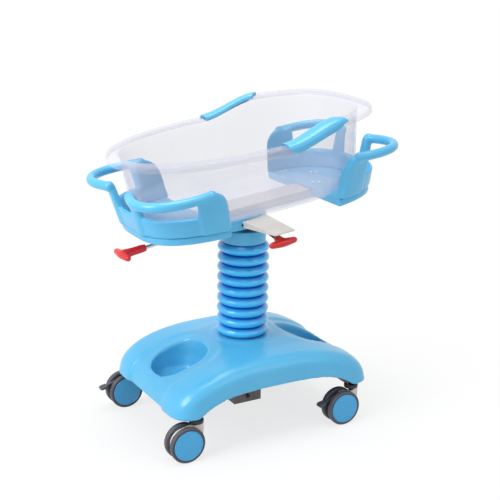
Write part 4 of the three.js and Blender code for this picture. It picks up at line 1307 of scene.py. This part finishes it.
@dataclass
class EndFrame:
    """A tray under one end of the tub, and the guard on it with its posts and handle bars.

    Directions are given as if at the foot; the head's frame is its mirror image. The brow gives
    the share of the guard's thickness and the drop from its crest at each point.
    """

    BROW = ((0.12, 1.5), (0.3, 0.0), (0.7, 0.0), (0.88, 1.5))

    end: End
    start: float
    shift: float
    length: float = 764.0
    width: float = 486.0
    squareness: float = 3.2
    tray_bottom: float = 14.0
    tray_top: float = 36.0
    tray_inset: float = 46.0
    tray_wall: float = 5.0
    tray_rounding: float = 6.0
    tray_setback: float = 10.0
    tray_lip: float = 3.0
    cut_clear: float = 9.0
    spine_reach: float = 330.0
    spine_half: float = 40.4
    seat_gap: float = 0.3
    inset: float = 18.0
    slope: float = 24.0
    thickness: float = 15.0
    post_proud: float = 5.0
    low_top: float = 86.0
    post_top: float = 152.0
    side_post: float = 80.0
    side_fade: tuple[float, float] = (-6.0, 10.0)
    corner: float = 44.0
    end_share: float = 0.36
    end_post: float = 70.0
    end_post_half: float = 15.0
    end_fade: tuple[float, float] = (-6.0, 9.0)
    bar_radius: float = 13.0
    knob_radius: float = 14.5
    bar_reach: float = 42.0
    bar_drop: float = 8.0
    brow_height: float = 5.0
    guard_rows: int = 110
    wall_rows: int = 6
    arc_rows: int = 140
    edge_rows: int = 20
    rounding_rows: int = 4
    bar_rows: int = 48
    skin_voxel: float = 2.6
    skin_rounds: int = 7

    @property
    def foot(self) -> float:
        """Returns: the height of the guard's foot, just over the tray."""
        return self.tray_top + self.seat_gap

    def at(self, angle: float, offset: float, z: float) -> Vector:
        """A place on the frame.

        Args:
            angle: its direction.
            offset: how far out from the plan.
            z: its height.

        Returns:
            The place.
        """
        length, width = self.length + 2.0 * offset, self.width + 2.0 * offset
        p = oval_point(length, width, self.squareness, angle)
        return Vector((-self.end.value * p.x + self.shift, p.y, z))

    def side_angle(self, x: float) -> float:
        """Args: x: a distance towards the end. Returns: the direction of the side there."""
        return math.atan2(oval_reach(self.length, self.width, self.squareness, x), -x)

    def end_angle(self, y: float) -> float:
        """Args: y: a distance from the middle. Returns: the direction of the end there."""
        return math.atan2(y, -oval_reach(self.width, self.length, self.squareness, y))

    def lean(self, z: float) -> float:
        """Args: z: a height. Returns: the guard's outer offset, further out at its top."""
        return -self.inset - self.slope * (self.post_top - z) / (self.post_top - self.foot)

    def from_start(self, angle: float) -> float:
        """Args: angle: a direction. Returns: how far past the guard's start it is."""
        return abs(self.at(angle, 0.0, 0.0).x - self.shift) - self.start

    def on_side(self, angle: float) -> bool:
        """Args: angle: a direction on the far half. Returns: whether it is on the long side."""
        return angle < self.end_angle(self.width * self.end_share)

    def post(self, angle: float) -> float:
        """Where the guard is a post.

        Args:
            angle: a direction on the far half.

        Returns:
            1 on a post, 0 on the low wall.
        """
        if self.on_side(angle):
            past, fade = self.from_start(angle) - self.side_post, self.side_fade
        else:
            from_post = abs(abs(self.at(angle, 0.0, 0.0).y) - self.end_post)
            past, fade = from_post - self.end_post_half, self.end_fade
        return 1.0 - smoothstep(past, *fade)

    def crest(self, angle: float) -> float:
        """The guard's top, rounded down at its start.

        Args:
            angle: a direction on the far half.

        Returns:
            The height there.
        """
        top = self.low_top + (self.post_top - self.low_top) * self.post(angle)
        if self.on_side(angle) and self.from_start(angle) < self.corner:
            share = 1.0 - max(0.0, self.from_start(angle)) / self.corner
            top -= self.corner * (1.0 - math.sqrt(max(0.0, 1.0 - share**2)))
        return top

    def wall(self) -> BMesh:
        """The guard's wall, with its posts.

        Returns:
            The closed mesh.
        """
        half = steps(self.side_angle(self.start), math.pi, self.guard_rows)
        both = [(a, a) for a in half] + [(FULL_TURN - a, a) for a in reversed(half[:-1])]
        rings = []
        for angle, mirrored in both:
            top = self.crest(mirrored)
            proud = self.post_proud * self.post(mirrored)
            thick = self.thickness + proud
            heights = steps(self.foot, top - self.brow_height, self.wall_rows)
            outer = [(self.lean(z) + proud, z) for z in heights]
            inner = [(offset - thick, z) for offset, z in reversed(outer)]
            brow = [
                (self.lean(top) + proud - thick * share, top - drop) for share, drop in self.BROW
            ]
            rings.append([self.at(angle, offset, z) for offset, z in [*outer, *brow, *inner]])
        return Loft.through(rings)

    def bar(self, side: Side) -> list[BMesh]:
        """A handle bar with a knob at each end.

        Args:
            side: which side of the frame.

        Returns:
            The bar and the knobs.
        """
        first = self.side_angle(self.start + self.side_post / 2.0)
        last = self.end_angle(self.end_post)
        seat = -self.inset - self.thickness + self.bar_radius
        route = [
            self.at(
                side.value * (first + (last - first) * share),
                seat + self.bar_reach * math.sin(math.pi * share),
                self.post_top - self.bar_drop,
            )
            for share in steps(0.0, 1.0, self.bar_rows)
        ]
        parts = [swept(route, self.bar_radius)]
        for tip in (route[0], route[-1]):
            knob = bmesh.new()
            bmesh.ops.create_uvsphere(
                knob, u_segments=24, v_segments=16, radius=self.knob_radius
            )
            bmesh.ops.translate(knob, verts=knob.verts, vec=tip)
            parts.append(knob)
        return parts

    def guard(self) -> None:
        """Builds the guard as one moulding."""
        name = f"{self.end.name.lower()}_guard"
        bars = [part for side in Side for part in self.bar(side)]
        guard = as_object(join(self.wall(), *bars), f"{name}_skin")
        melt(guard, self.skin_voxel, self.skin_rounds)
        guard.data.transform(ON_CARRIER)
        dress(guard, SKY_PLASTIC, "carrier", name)

    def outline(self, inset: float, setback: float, z: float) -> list[Vector]:
        """The tray's outline.

        Args:
            inset: how far in from the plan.
            setback: how far its straight edge is set back.
            z: its height.

        Returns:
            The ring.
        """
        corner = self.side_angle(self.start + setback)
        arc = [self.at(a, -inset, z) for a in steps(corner, FULL_TURN - corner, self.arc_rows)]
        shares = steps(0.0, 1.0, self.edge_rows)[1:-1]
        return arc + [arc[-1].lerp(arc[0], share) for share in shares]

    def tray(self) -> None:
        """Builds the tray: a flat top with rounded edges over a hollow that takes the spine."""
        inset, low, high, radius = (
            self.tray_inset, self.tray_bottom, self.tray_top, self.tray_rounding
        )
        ceiling = high - self.tray_wall
        rows = self.rounding_rows
        edge = quarter((inset + radius, high - radius), radius, QUARTER_TURN, rows)
        edge += quarter((inset + radius, low + radius), radius, math.pi, rows)
        deep = inset + self.tray_wall + self.tray_lip
        rings = [self.outline(offset, offset - inset, z) for offset, z in edge]
        rings += [self.outline(deep, self.tray_setback, z) for z in (low, ceiling)]
        name = f"{self.end.name.lower()}_tray"
        tray = as_object(Loft.through(rings), f"{name}_skin")
        reach, half = self.spine_reach, self.spine_half
        carve(tray, block((-reach, -half, low - self.cut_clear), (reach, half, ceiling)))
        tray.data.transform(ON_CARRIER)
        dress(tray, SKY_PLASTIC, "carrier", name, sharp=50.0)

    def build(self) -> None:
        """Builds the tray and the guard."""
        self.tray()
        self.guard()


@dataclass
class ReleaseHandle:
    """The red T-handle of a release lever.

    The pivot and the grip are a reach out from the column's axis and a height over the tilt pivot.
    """

    name: str
    turn: float
    pivot: tuple[float, float]
    grip: tuple[float, float]
    stem: float
    bar: float
    radius: float = 11.5
    end_share: float = 0.72
    neck: float = 10.9
    flare: float = 2.6
    flare_range: tuple[float, float] = (0.5, 1.0)
    nose: float = 1.5
    nose_range: tuple[float, float] = (0.0, 0.2)
    end_rounding: float = 0.9
    bar_rows: int = 40
    stalk_rows: int = 14
    segments: int = 48
    skin_voxel: float = 1.0
    skin_rounds: int = 24

    @property
    def span(self) -> float:
        """Returns: the distance from the lever's pivot to the crossbar."""
        return math.dist(self.pivot, self.grip)

    def place(self) -> Matrix:
        """The lever's own frame, with X along the lever.

        Returns:
            The frame, set in the row frame.
        """
        lean = math.atan2(self.pivot[1] - self.grip[1], self.grip[0] - self.pivot[0])
        return (
            ON_CARRIER @ Matrix.Rotation(self.turn, 4, "Z")
            @ Matrix.Translation((self.pivot[0], 0.0, self.pivot[1]))
            @ Matrix.Rotation(lean, 4, "Y")
        )

    def crossbar(self) -> BMesh:
        """The crossbar, which swells in the middle and is round at its ends.

        Returns:
            The closed mesh.
        """
        half = self.bar / 2.0
        profile = []
        for t in steps(0.0, math.pi, self.bar_rows):
            along = -half * math.cos(t)
            full = math.cos(math.pi * along / self.bar) ** 2
            swell = self.radius * (self.end_share + (1.0 - self.end_share) * full)
            edge = min(1.0, (half - abs(along)) / (self.radius * self.end_rounding))
            profile.append((swell * math.sqrt(max(0.0, 1.0 - (1.0 - edge) ** 2)), along))
        bm = spun(profile, self.segments)
        across = Matrix.Rotation(QUARTER_TURN, 3, "X")
        bmesh.ops.rotate(bm, verts=bm.verts, cent=(0, 0, 0), matrix=across)
        bmesh.ops.translate(bm, verts=bm.verts, vec=(self.span, 0.0, 0.0))
        return bm

    def stalk(self) -> BMesh:
        """The neck, which is drawn in at its nose and flares out to the crossbar.

        Returns:
            The closed mesh.
        """
        nose = self.span - self.stem
        profile = [(0.0, nose)]
        for share in steps(0.0, 1.0, self.stalk_rows):
            flared = self.flare * smoothstep(share, *self.flare_range)
            drawn_in = self.nose * (1.0 - smoothstep(share, *self.nose_range))
            profile.append((self.neck + flared - drawn_in, nose + self.stem * share))
        profile.append((0.0, self.span))
        bm = spun(profile, self.segments)
        along = Matrix.Rotation(QUARTER_TURN, 3, "Y")
        bmesh.ops.rotate(bm, verts=bm.verts, cent=(0, 0, 0), matrix=along)
        return bm

    def build(self) -> None:
        """Builds the handle as one moulding."""
        name = f"{self.name}_lever_handle"
        handle = as_object(join(self.crossbar(), self.stalk()), f"{name}_skin")
        melt(handle, self.skin_voxel, self.skin_rounds)
        handle.data.transform(self.place())
        dress(handle, RED_PLASTIC, f"{self.name}_lever", name)


@dataclass
class Caster:
    """A twin-wheel caster: its wheels and their caps.

    The groove gives the depth under the tread and under the outer face at each point, and the ring
    the distance in from the cap's edge and out from its face.
    """

    GROOVE = ((4.6, 0.1), (5.0, 0.7), (5.4, 0.2))
    RING = ((0.0, 0.0), (0.8, 0.7), (1.9, 0.7), (2.4, 0.0))

    end: End
    side: Side
    x: float = 249.0
    y: float = 197.0
    trail: float = 34.0
    wheel_radius: float = 50.0
    inner: float = 8.0
    outer: float = 25.0
    bore: float = 4.3
    shoulder: float = 5.0
    lip: float = 4.0
    cap_radius: float = 41.8
    cap_thickness: float = 3.0
    cap_gap: float = 0.3
    dome_share: float = 0.93
    dome_rise: float = 1.3
    face_proud: float = 0.2
    recess_edge: float = 0.4
    recess_drop: tuple[float, float] = (0.2, 0.6)
    rounding_rows: int = 6
    dome_rows: int = 10
    segments: int = 80

    @property
    def name(self) -> str:
        """Returns: the caster's name in the CAD model."""
        return f"caster_{self.end.name.lower()}_{self.side.name.lower()}"

    def place(self, which: Side) -> Matrix:
        """The frame of a wheel, with Z out along its axle.

        Args:
            which: one of the twin wheels.

        Returns:
            The frame, set in the row frame.
        """
        turn = Matrix.Rotation(-which.value * QUARTER_TURN, 4, "X")
        along = self.end.value * self.x - self.trail
        middle = (along, self.side.value * self.y, self.wheel_radius)
        return ON_BASE @ Matrix.Translation(middle) @ turn

    def tyre(self) -> list[tuple[float, float]]:
        """The section of a wheel: round shoulders, a groove and a recess for the cap.

        Returns:
            Its radius and its distance out along the axle at each point.
        """
        r, out, inner = self.wheel_radius, self.outer, self.inner
        recess, floor = self.cap_radius + self.cap_gap, out - self.cap_thickness
        shoulder, lip, rows = self.shoulder, self.lip, self.rounding_rows
        return [
            (self.bore, inner),
            *quarter((r - shoulder, inner + shoulder), shoulder, -QUARTER_TURN, rows),
            *quarter((r - lip, out - lip), lip, 0.0, rows),
            *((r - depth, out - drop) for depth, drop in self.GROOVE),
            (recess + self.recess_edge, out - self.recess_drop[0]),
            (recess, out - self.recess_drop[1]), (recess, floor),
            (self.bore, floor), (self.bore, inner),
        ]

    def disc(self) -> list[tuple[float, float]]:
        """The section of a cap: a shallow dome inside a fine edge ring.

        Returns:
            Its radius and its distance out along the axle at each point.
        """
        r, face = self.cap_radius, self.outer + self.face_proud
        low = self.outer - self.cap_thickness + self.cap_gap
        dome = [
            (r * self.dome_share * math.cos(t), face + self.dome_rise * math.sin(t))
            for t in steps(0.0, QUARTER_TURN, self.dome_rows)
        ]
        ring = [(r - inwards, face + out) for inwards, out in self.RING]
        return [(0.0, low), (r, low), *ring, *dome]

    def build(self) -> None:
        """Builds both wheels and both caps."""
        for which in Side:
            hand = which.name.lower()
            for label, node, section, finish in (
                ("tyre", "wheel", self.tyre(), TYRE_RUBBER),
                ("disc", "cap", self.disc(), CAP_PLASTIC),
            ):
                piece = as_object(spun(section, self.segments), f"{self.name}_{label}_{hand}")
                piece.data.transform(self.place(which))
                dress(
                    piece, finish, f"{self.name}_wheel_{hand}", f"{self.name}_{node}_{hand}",
                    sharp=50.0,
                )


@dataclass
class Metalwork:
    """Copies of CAD nodes with their edges rounded, and finishes on the nodes that stay."""

    SHOWN = {
        "spine": WHITE_COAT, "side_arm": WHITE_COAT, "foot_arm": WHITE_COAT,
        "column_box": GREY_COAT, "column_head": GREY_COAT, "chassis": GREY_COAT,
        "column_box_screw": DARK_STEEL, "side_lever": DARK_STEEL, "foot_lever": BRIGHT_STEEL,
        "side_lever_pin": DARK_STEEL, "foot_lever_pin": DARK_STEEL, "tilt_sector": DARK_STEEL,
        "tilt_pin": DARK_STEEL,
    }
    INSIDE = {
        "column_outer_tube": BRIGHT_STEEL, "column_inner_tube": BRIGHT_STEEL,
        "gas_spring_rod": BRIGHT_STEEL, "column_guide_bush": BLACK_PLASTIC,
        "gas_spring_cylinder": BLACK_PLASTIC,
    }
    SMALL = ("screw", "sector", "pin")

    rounding: float = 0.9
    small_rounding: float = 0.5
    flattest: float = 0.5
    steepest: float = 32.0

    def rounded(self, node: str, finish: Finish, rounding: float) -> None:
        """Stands a rounded copy in a node's place.

        Args:
            node: the CAD node.
            finish: the copy's finish.
            rounding: the radius of its edges.
        """
        source = frame["nodes"][node]
        bm = bmesh.new()
        bm.from_mesh(source.data)
        bmesh.ops.remove_doubles(bm, verts=bm.verts, dist=NODE_WELD)
        bmesh.ops.dissolve_limit(
            bm, angle_limit=math.radians(self.flattest), verts=bm.verts, edges=bm.edges
        )
        copy = as_object(bm, f"{node}_edged")
        bevel = copy.modifiers.new("edges", "BEVEL")
        bevel.width = rounding * MILLIMETRE
        bevel.segments = 3
        bevel.profile = 0.5
        bevel.material = -1
        bevel.limit_method = "ANGLE"
        bevel.angle_limit = math.radians(self.steepest)
        bake_modifiers(copy)
        dress(copy, finish, source["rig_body"], node, sharp=35.0)

    @staticmethod
    def finished(node: str, finish: Finish) -> None:
        """Finishes a node that stays.

        Args:
            node: the CAD node.
            finish: what it gets.
        """
        slots = frame["nodes"][node].data.materials
        slots.clear()
        slots.append(finish.material())

    def build(self) -> None:
        """Rounds what shows and finishes what stays."""
        for node, finish in self.SHOWN.items():
            small = any(word in node for word in self.SMALL)
            self.rounded(node, finish, self.small_rounding if small else self.rounding)
        for end in End:
            for side in Side:
                caster = Caster(end, side).name
                self.rounded(f"{caster}_hood", HOOD_PLASTIC, self.rounding)
                self.rounded(f"{caster}_collar", BLACK_PLASTIC, self.rounding)
                self.finished(f"{caster}_axle", BRIGHT_STEEL)
                if end.value * side.value < 0:
                    self.rounded(f"{caster}_brake_pedal", TYRE_RUBBER, self.rounding)
        for node, finish in self.INSIDE.items():
            self.finished(node, finish)


@dataclass
class Studio:
    """The floor, the light and the camera."""

    LAMPS = (
        ("key", (-3.8, -0.3, 3.0), 2.4, 150.0),
        ("top", (0.4, 0.2, 9.0), 5.2, 490.0),
        ("fill", (1.2, -2.6, 2.0), 1.6, 10.0),
    )
    AIM = (0.0, 0.0, 0.45)

    azimuth: float = -30.38
    elevation: float = 16.96
    roll: float = 1.11
    eye: tuple[float, float, float] = (-1506.2, -2605.7, 1408.9)
    lens: float = 80.87
    sensor: float = 36.0
    surround: float = 0.5
    floor_size: float = 60.0
    floor_grey: float = 0.75
    floor_white: float = 0.75
    shadow_reach: tuple[float, float] = (0.45, 1.1)

    def camera(self) -> None:
        """Sets the camera where the photograph was taken from."""
        az, el, roll = (math.radians(a) for a in (self.azimuth, self.elevation, self.roll))
        right = Vector((math.cos(az), math.sin(az), 0.0))
        back = Vector((
            math.sin(az) * math.cos(el), -math.cos(az) * math.cos(el), math.sin(el)
        ))
        level = Matrix((right, back.cross(right), back)).transposed()
        data = bpy.data.cameras.new("camera")
        data.lens = self.lens
        data.sensor_width = self.sensor
        data.clip_end = 200.0
        camera = bpy.data.objects.new("camera", data)
        camera.matrix_world = Matrix.Translation(ON_BASE @ Vector(self.eye)) @ (
            level @ Matrix.Rotation(roll, 3, "Z")
        ).to_4x4()
        bpy.context.scene.collection.objects.link(camera)
        bpy.context.scene.camera = camera

    def lamp(self, name: str, place: Sequence[float], size: float, power: float) -> None:
        """Hangs a soft lamp that is aimed at the bassinet.

        Args:
            name: the lamp's name.
            place: where it hangs.
            size: its side.
            power: in watts.
        """
        data = bpy.data.lights.new(name, "AREA")
        data.shape = "SQUARE"
        data.size = size
        data.energy = power
        lamp = bpy.data.objects.new(name, data)
        lamp.location = place
        lamp.rotation_euler = (
            (Vector(self.AIM) - Vector(place)).to_track_quat("-Z", "Y").to_euler()
        )
        bpy.context.scene.collection.objects.link(lamp)

    @staticmethod
    def seen(tree: NodeTree) -> NodeSocket:
        """Tells the rays that show the background from those that light the bassinet.

        Args:
            tree: the nodes that ask.

        Returns:
            1 for rays from the camera, off gloss and through clear pieces, and 0 for the rest.
        """
        rays = add(tree, "LightPath", {}).outputs
        shown = rays["Is Camera Ray"]
        for kind in ("Is Glossy Ray", "Is Transmission Ray"):
            shown = add(tree, "Math", {0: shown, 1: rays[kind]}, operation="MAXIMUM").outputs[0]
        return shown

    def world(self) -> None:
        """Lights the scene evenly, and shows white to the rays that see the background."""
        world = bpy.data.worlds.new("studio")
        world.use_nodes = True
        tree = world.node_tree
        strength = add(tree, "MapRange", {
            "Value": self.seen(tree), "To Min": self.surround, "To Max": 1.0,
        })
        feed(tree.nodes["Background"], {
            "Color": (1.0, 1.0, 1.0, 1.0), "Strength": strength.outputs["Result"],
        })
        bpy.context.scene.world = world

    def floor(self) -> None:
        """Lays a pale floor that keeps the bassinet's shadow and is plain white further off."""
        bm = bmesh.new()
        bmesh.ops.create_grid(bm, x_segments=1, y_segments=1, size=self.floor_size)
        floor = as_object(bm, "floor")
        made = bpy.data.materials.new("pale floor")
        made.use_nodes = True
        tree = made.node_tree
        shader = feed(tree.nodes["Principled BSDF"], {
            "Base Color": (*[self.floor_grey] * 3, 1.0), "Roughness": 0.8,
        })
        place = add(tree, "TexCoord", {}).outputs["Object"]
        distance = add(tree, "VectorMath", {0: place}, operation="LENGTH")
        far = add(tree, "MapRange", {
            "Value": distance.outputs["Value"], "From Min": self.shadow_reach[0],
            "From Max": self.shadow_reach[1], "To Min": self.floor_white,
        }, interpolation_type="SMOOTHSTEP")
        shown = add(tree, "Math", {
            0: far.outputs["Result"], 1: self.seen(tree),
        }, operation="MULTIPLY")
        mix = add(tree, "MixShader", {
            "Fac": shown.outputs["Value"], 1: shader.outputs["BSDF"],
            2: add(tree, "Emission", {}).outputs["Emission"],
        })
        feed(tree.nodes["Material Output"], {"Surface": mix.outputs["Shader"]})
        floor.data.materials.append(made)

    def build(self) -> None:
        """Sets up the camera, the light and the floor."""
        self.camera()
        self.world()
        self.floor()
        for lamp in self.LAMPS:
            self.lamp(*lamp)
        bpy.context.scene.view_settings.view_transform = "Standard"


def main() -> None:
    """Builds the bassinet's looks in order."""
    logging.basicConfig(level=logging.INFO)
    Studio().build()
    BaseCover().build()
    Bellows().build()
    PivotShroud().build()
    Tub().build()
    EndFrame(End.FOOT, start=178.0, shift=0.0).build()
    EndFrame(End.HEAD, start=208.0, shift=25.0).build()
    ReleaseHandle(
        "side", turn=-QUARTER_TURN, pivot=(58.0, -13.0), grip=(202.0, -35.0), stem=34.0, bar=86.0
    ).build()
    ReleaseHandle(
        "foot", turn=math.pi, pivot=(63.0, -13.0), grip=(374.0, -27.0), stem=68.0, bar=90.0
    ).build()
    for end in End:
        for side in Side:
            Caster(end, side).build()
    Metalwork().build()


if __name__ == "__main__":
    main()
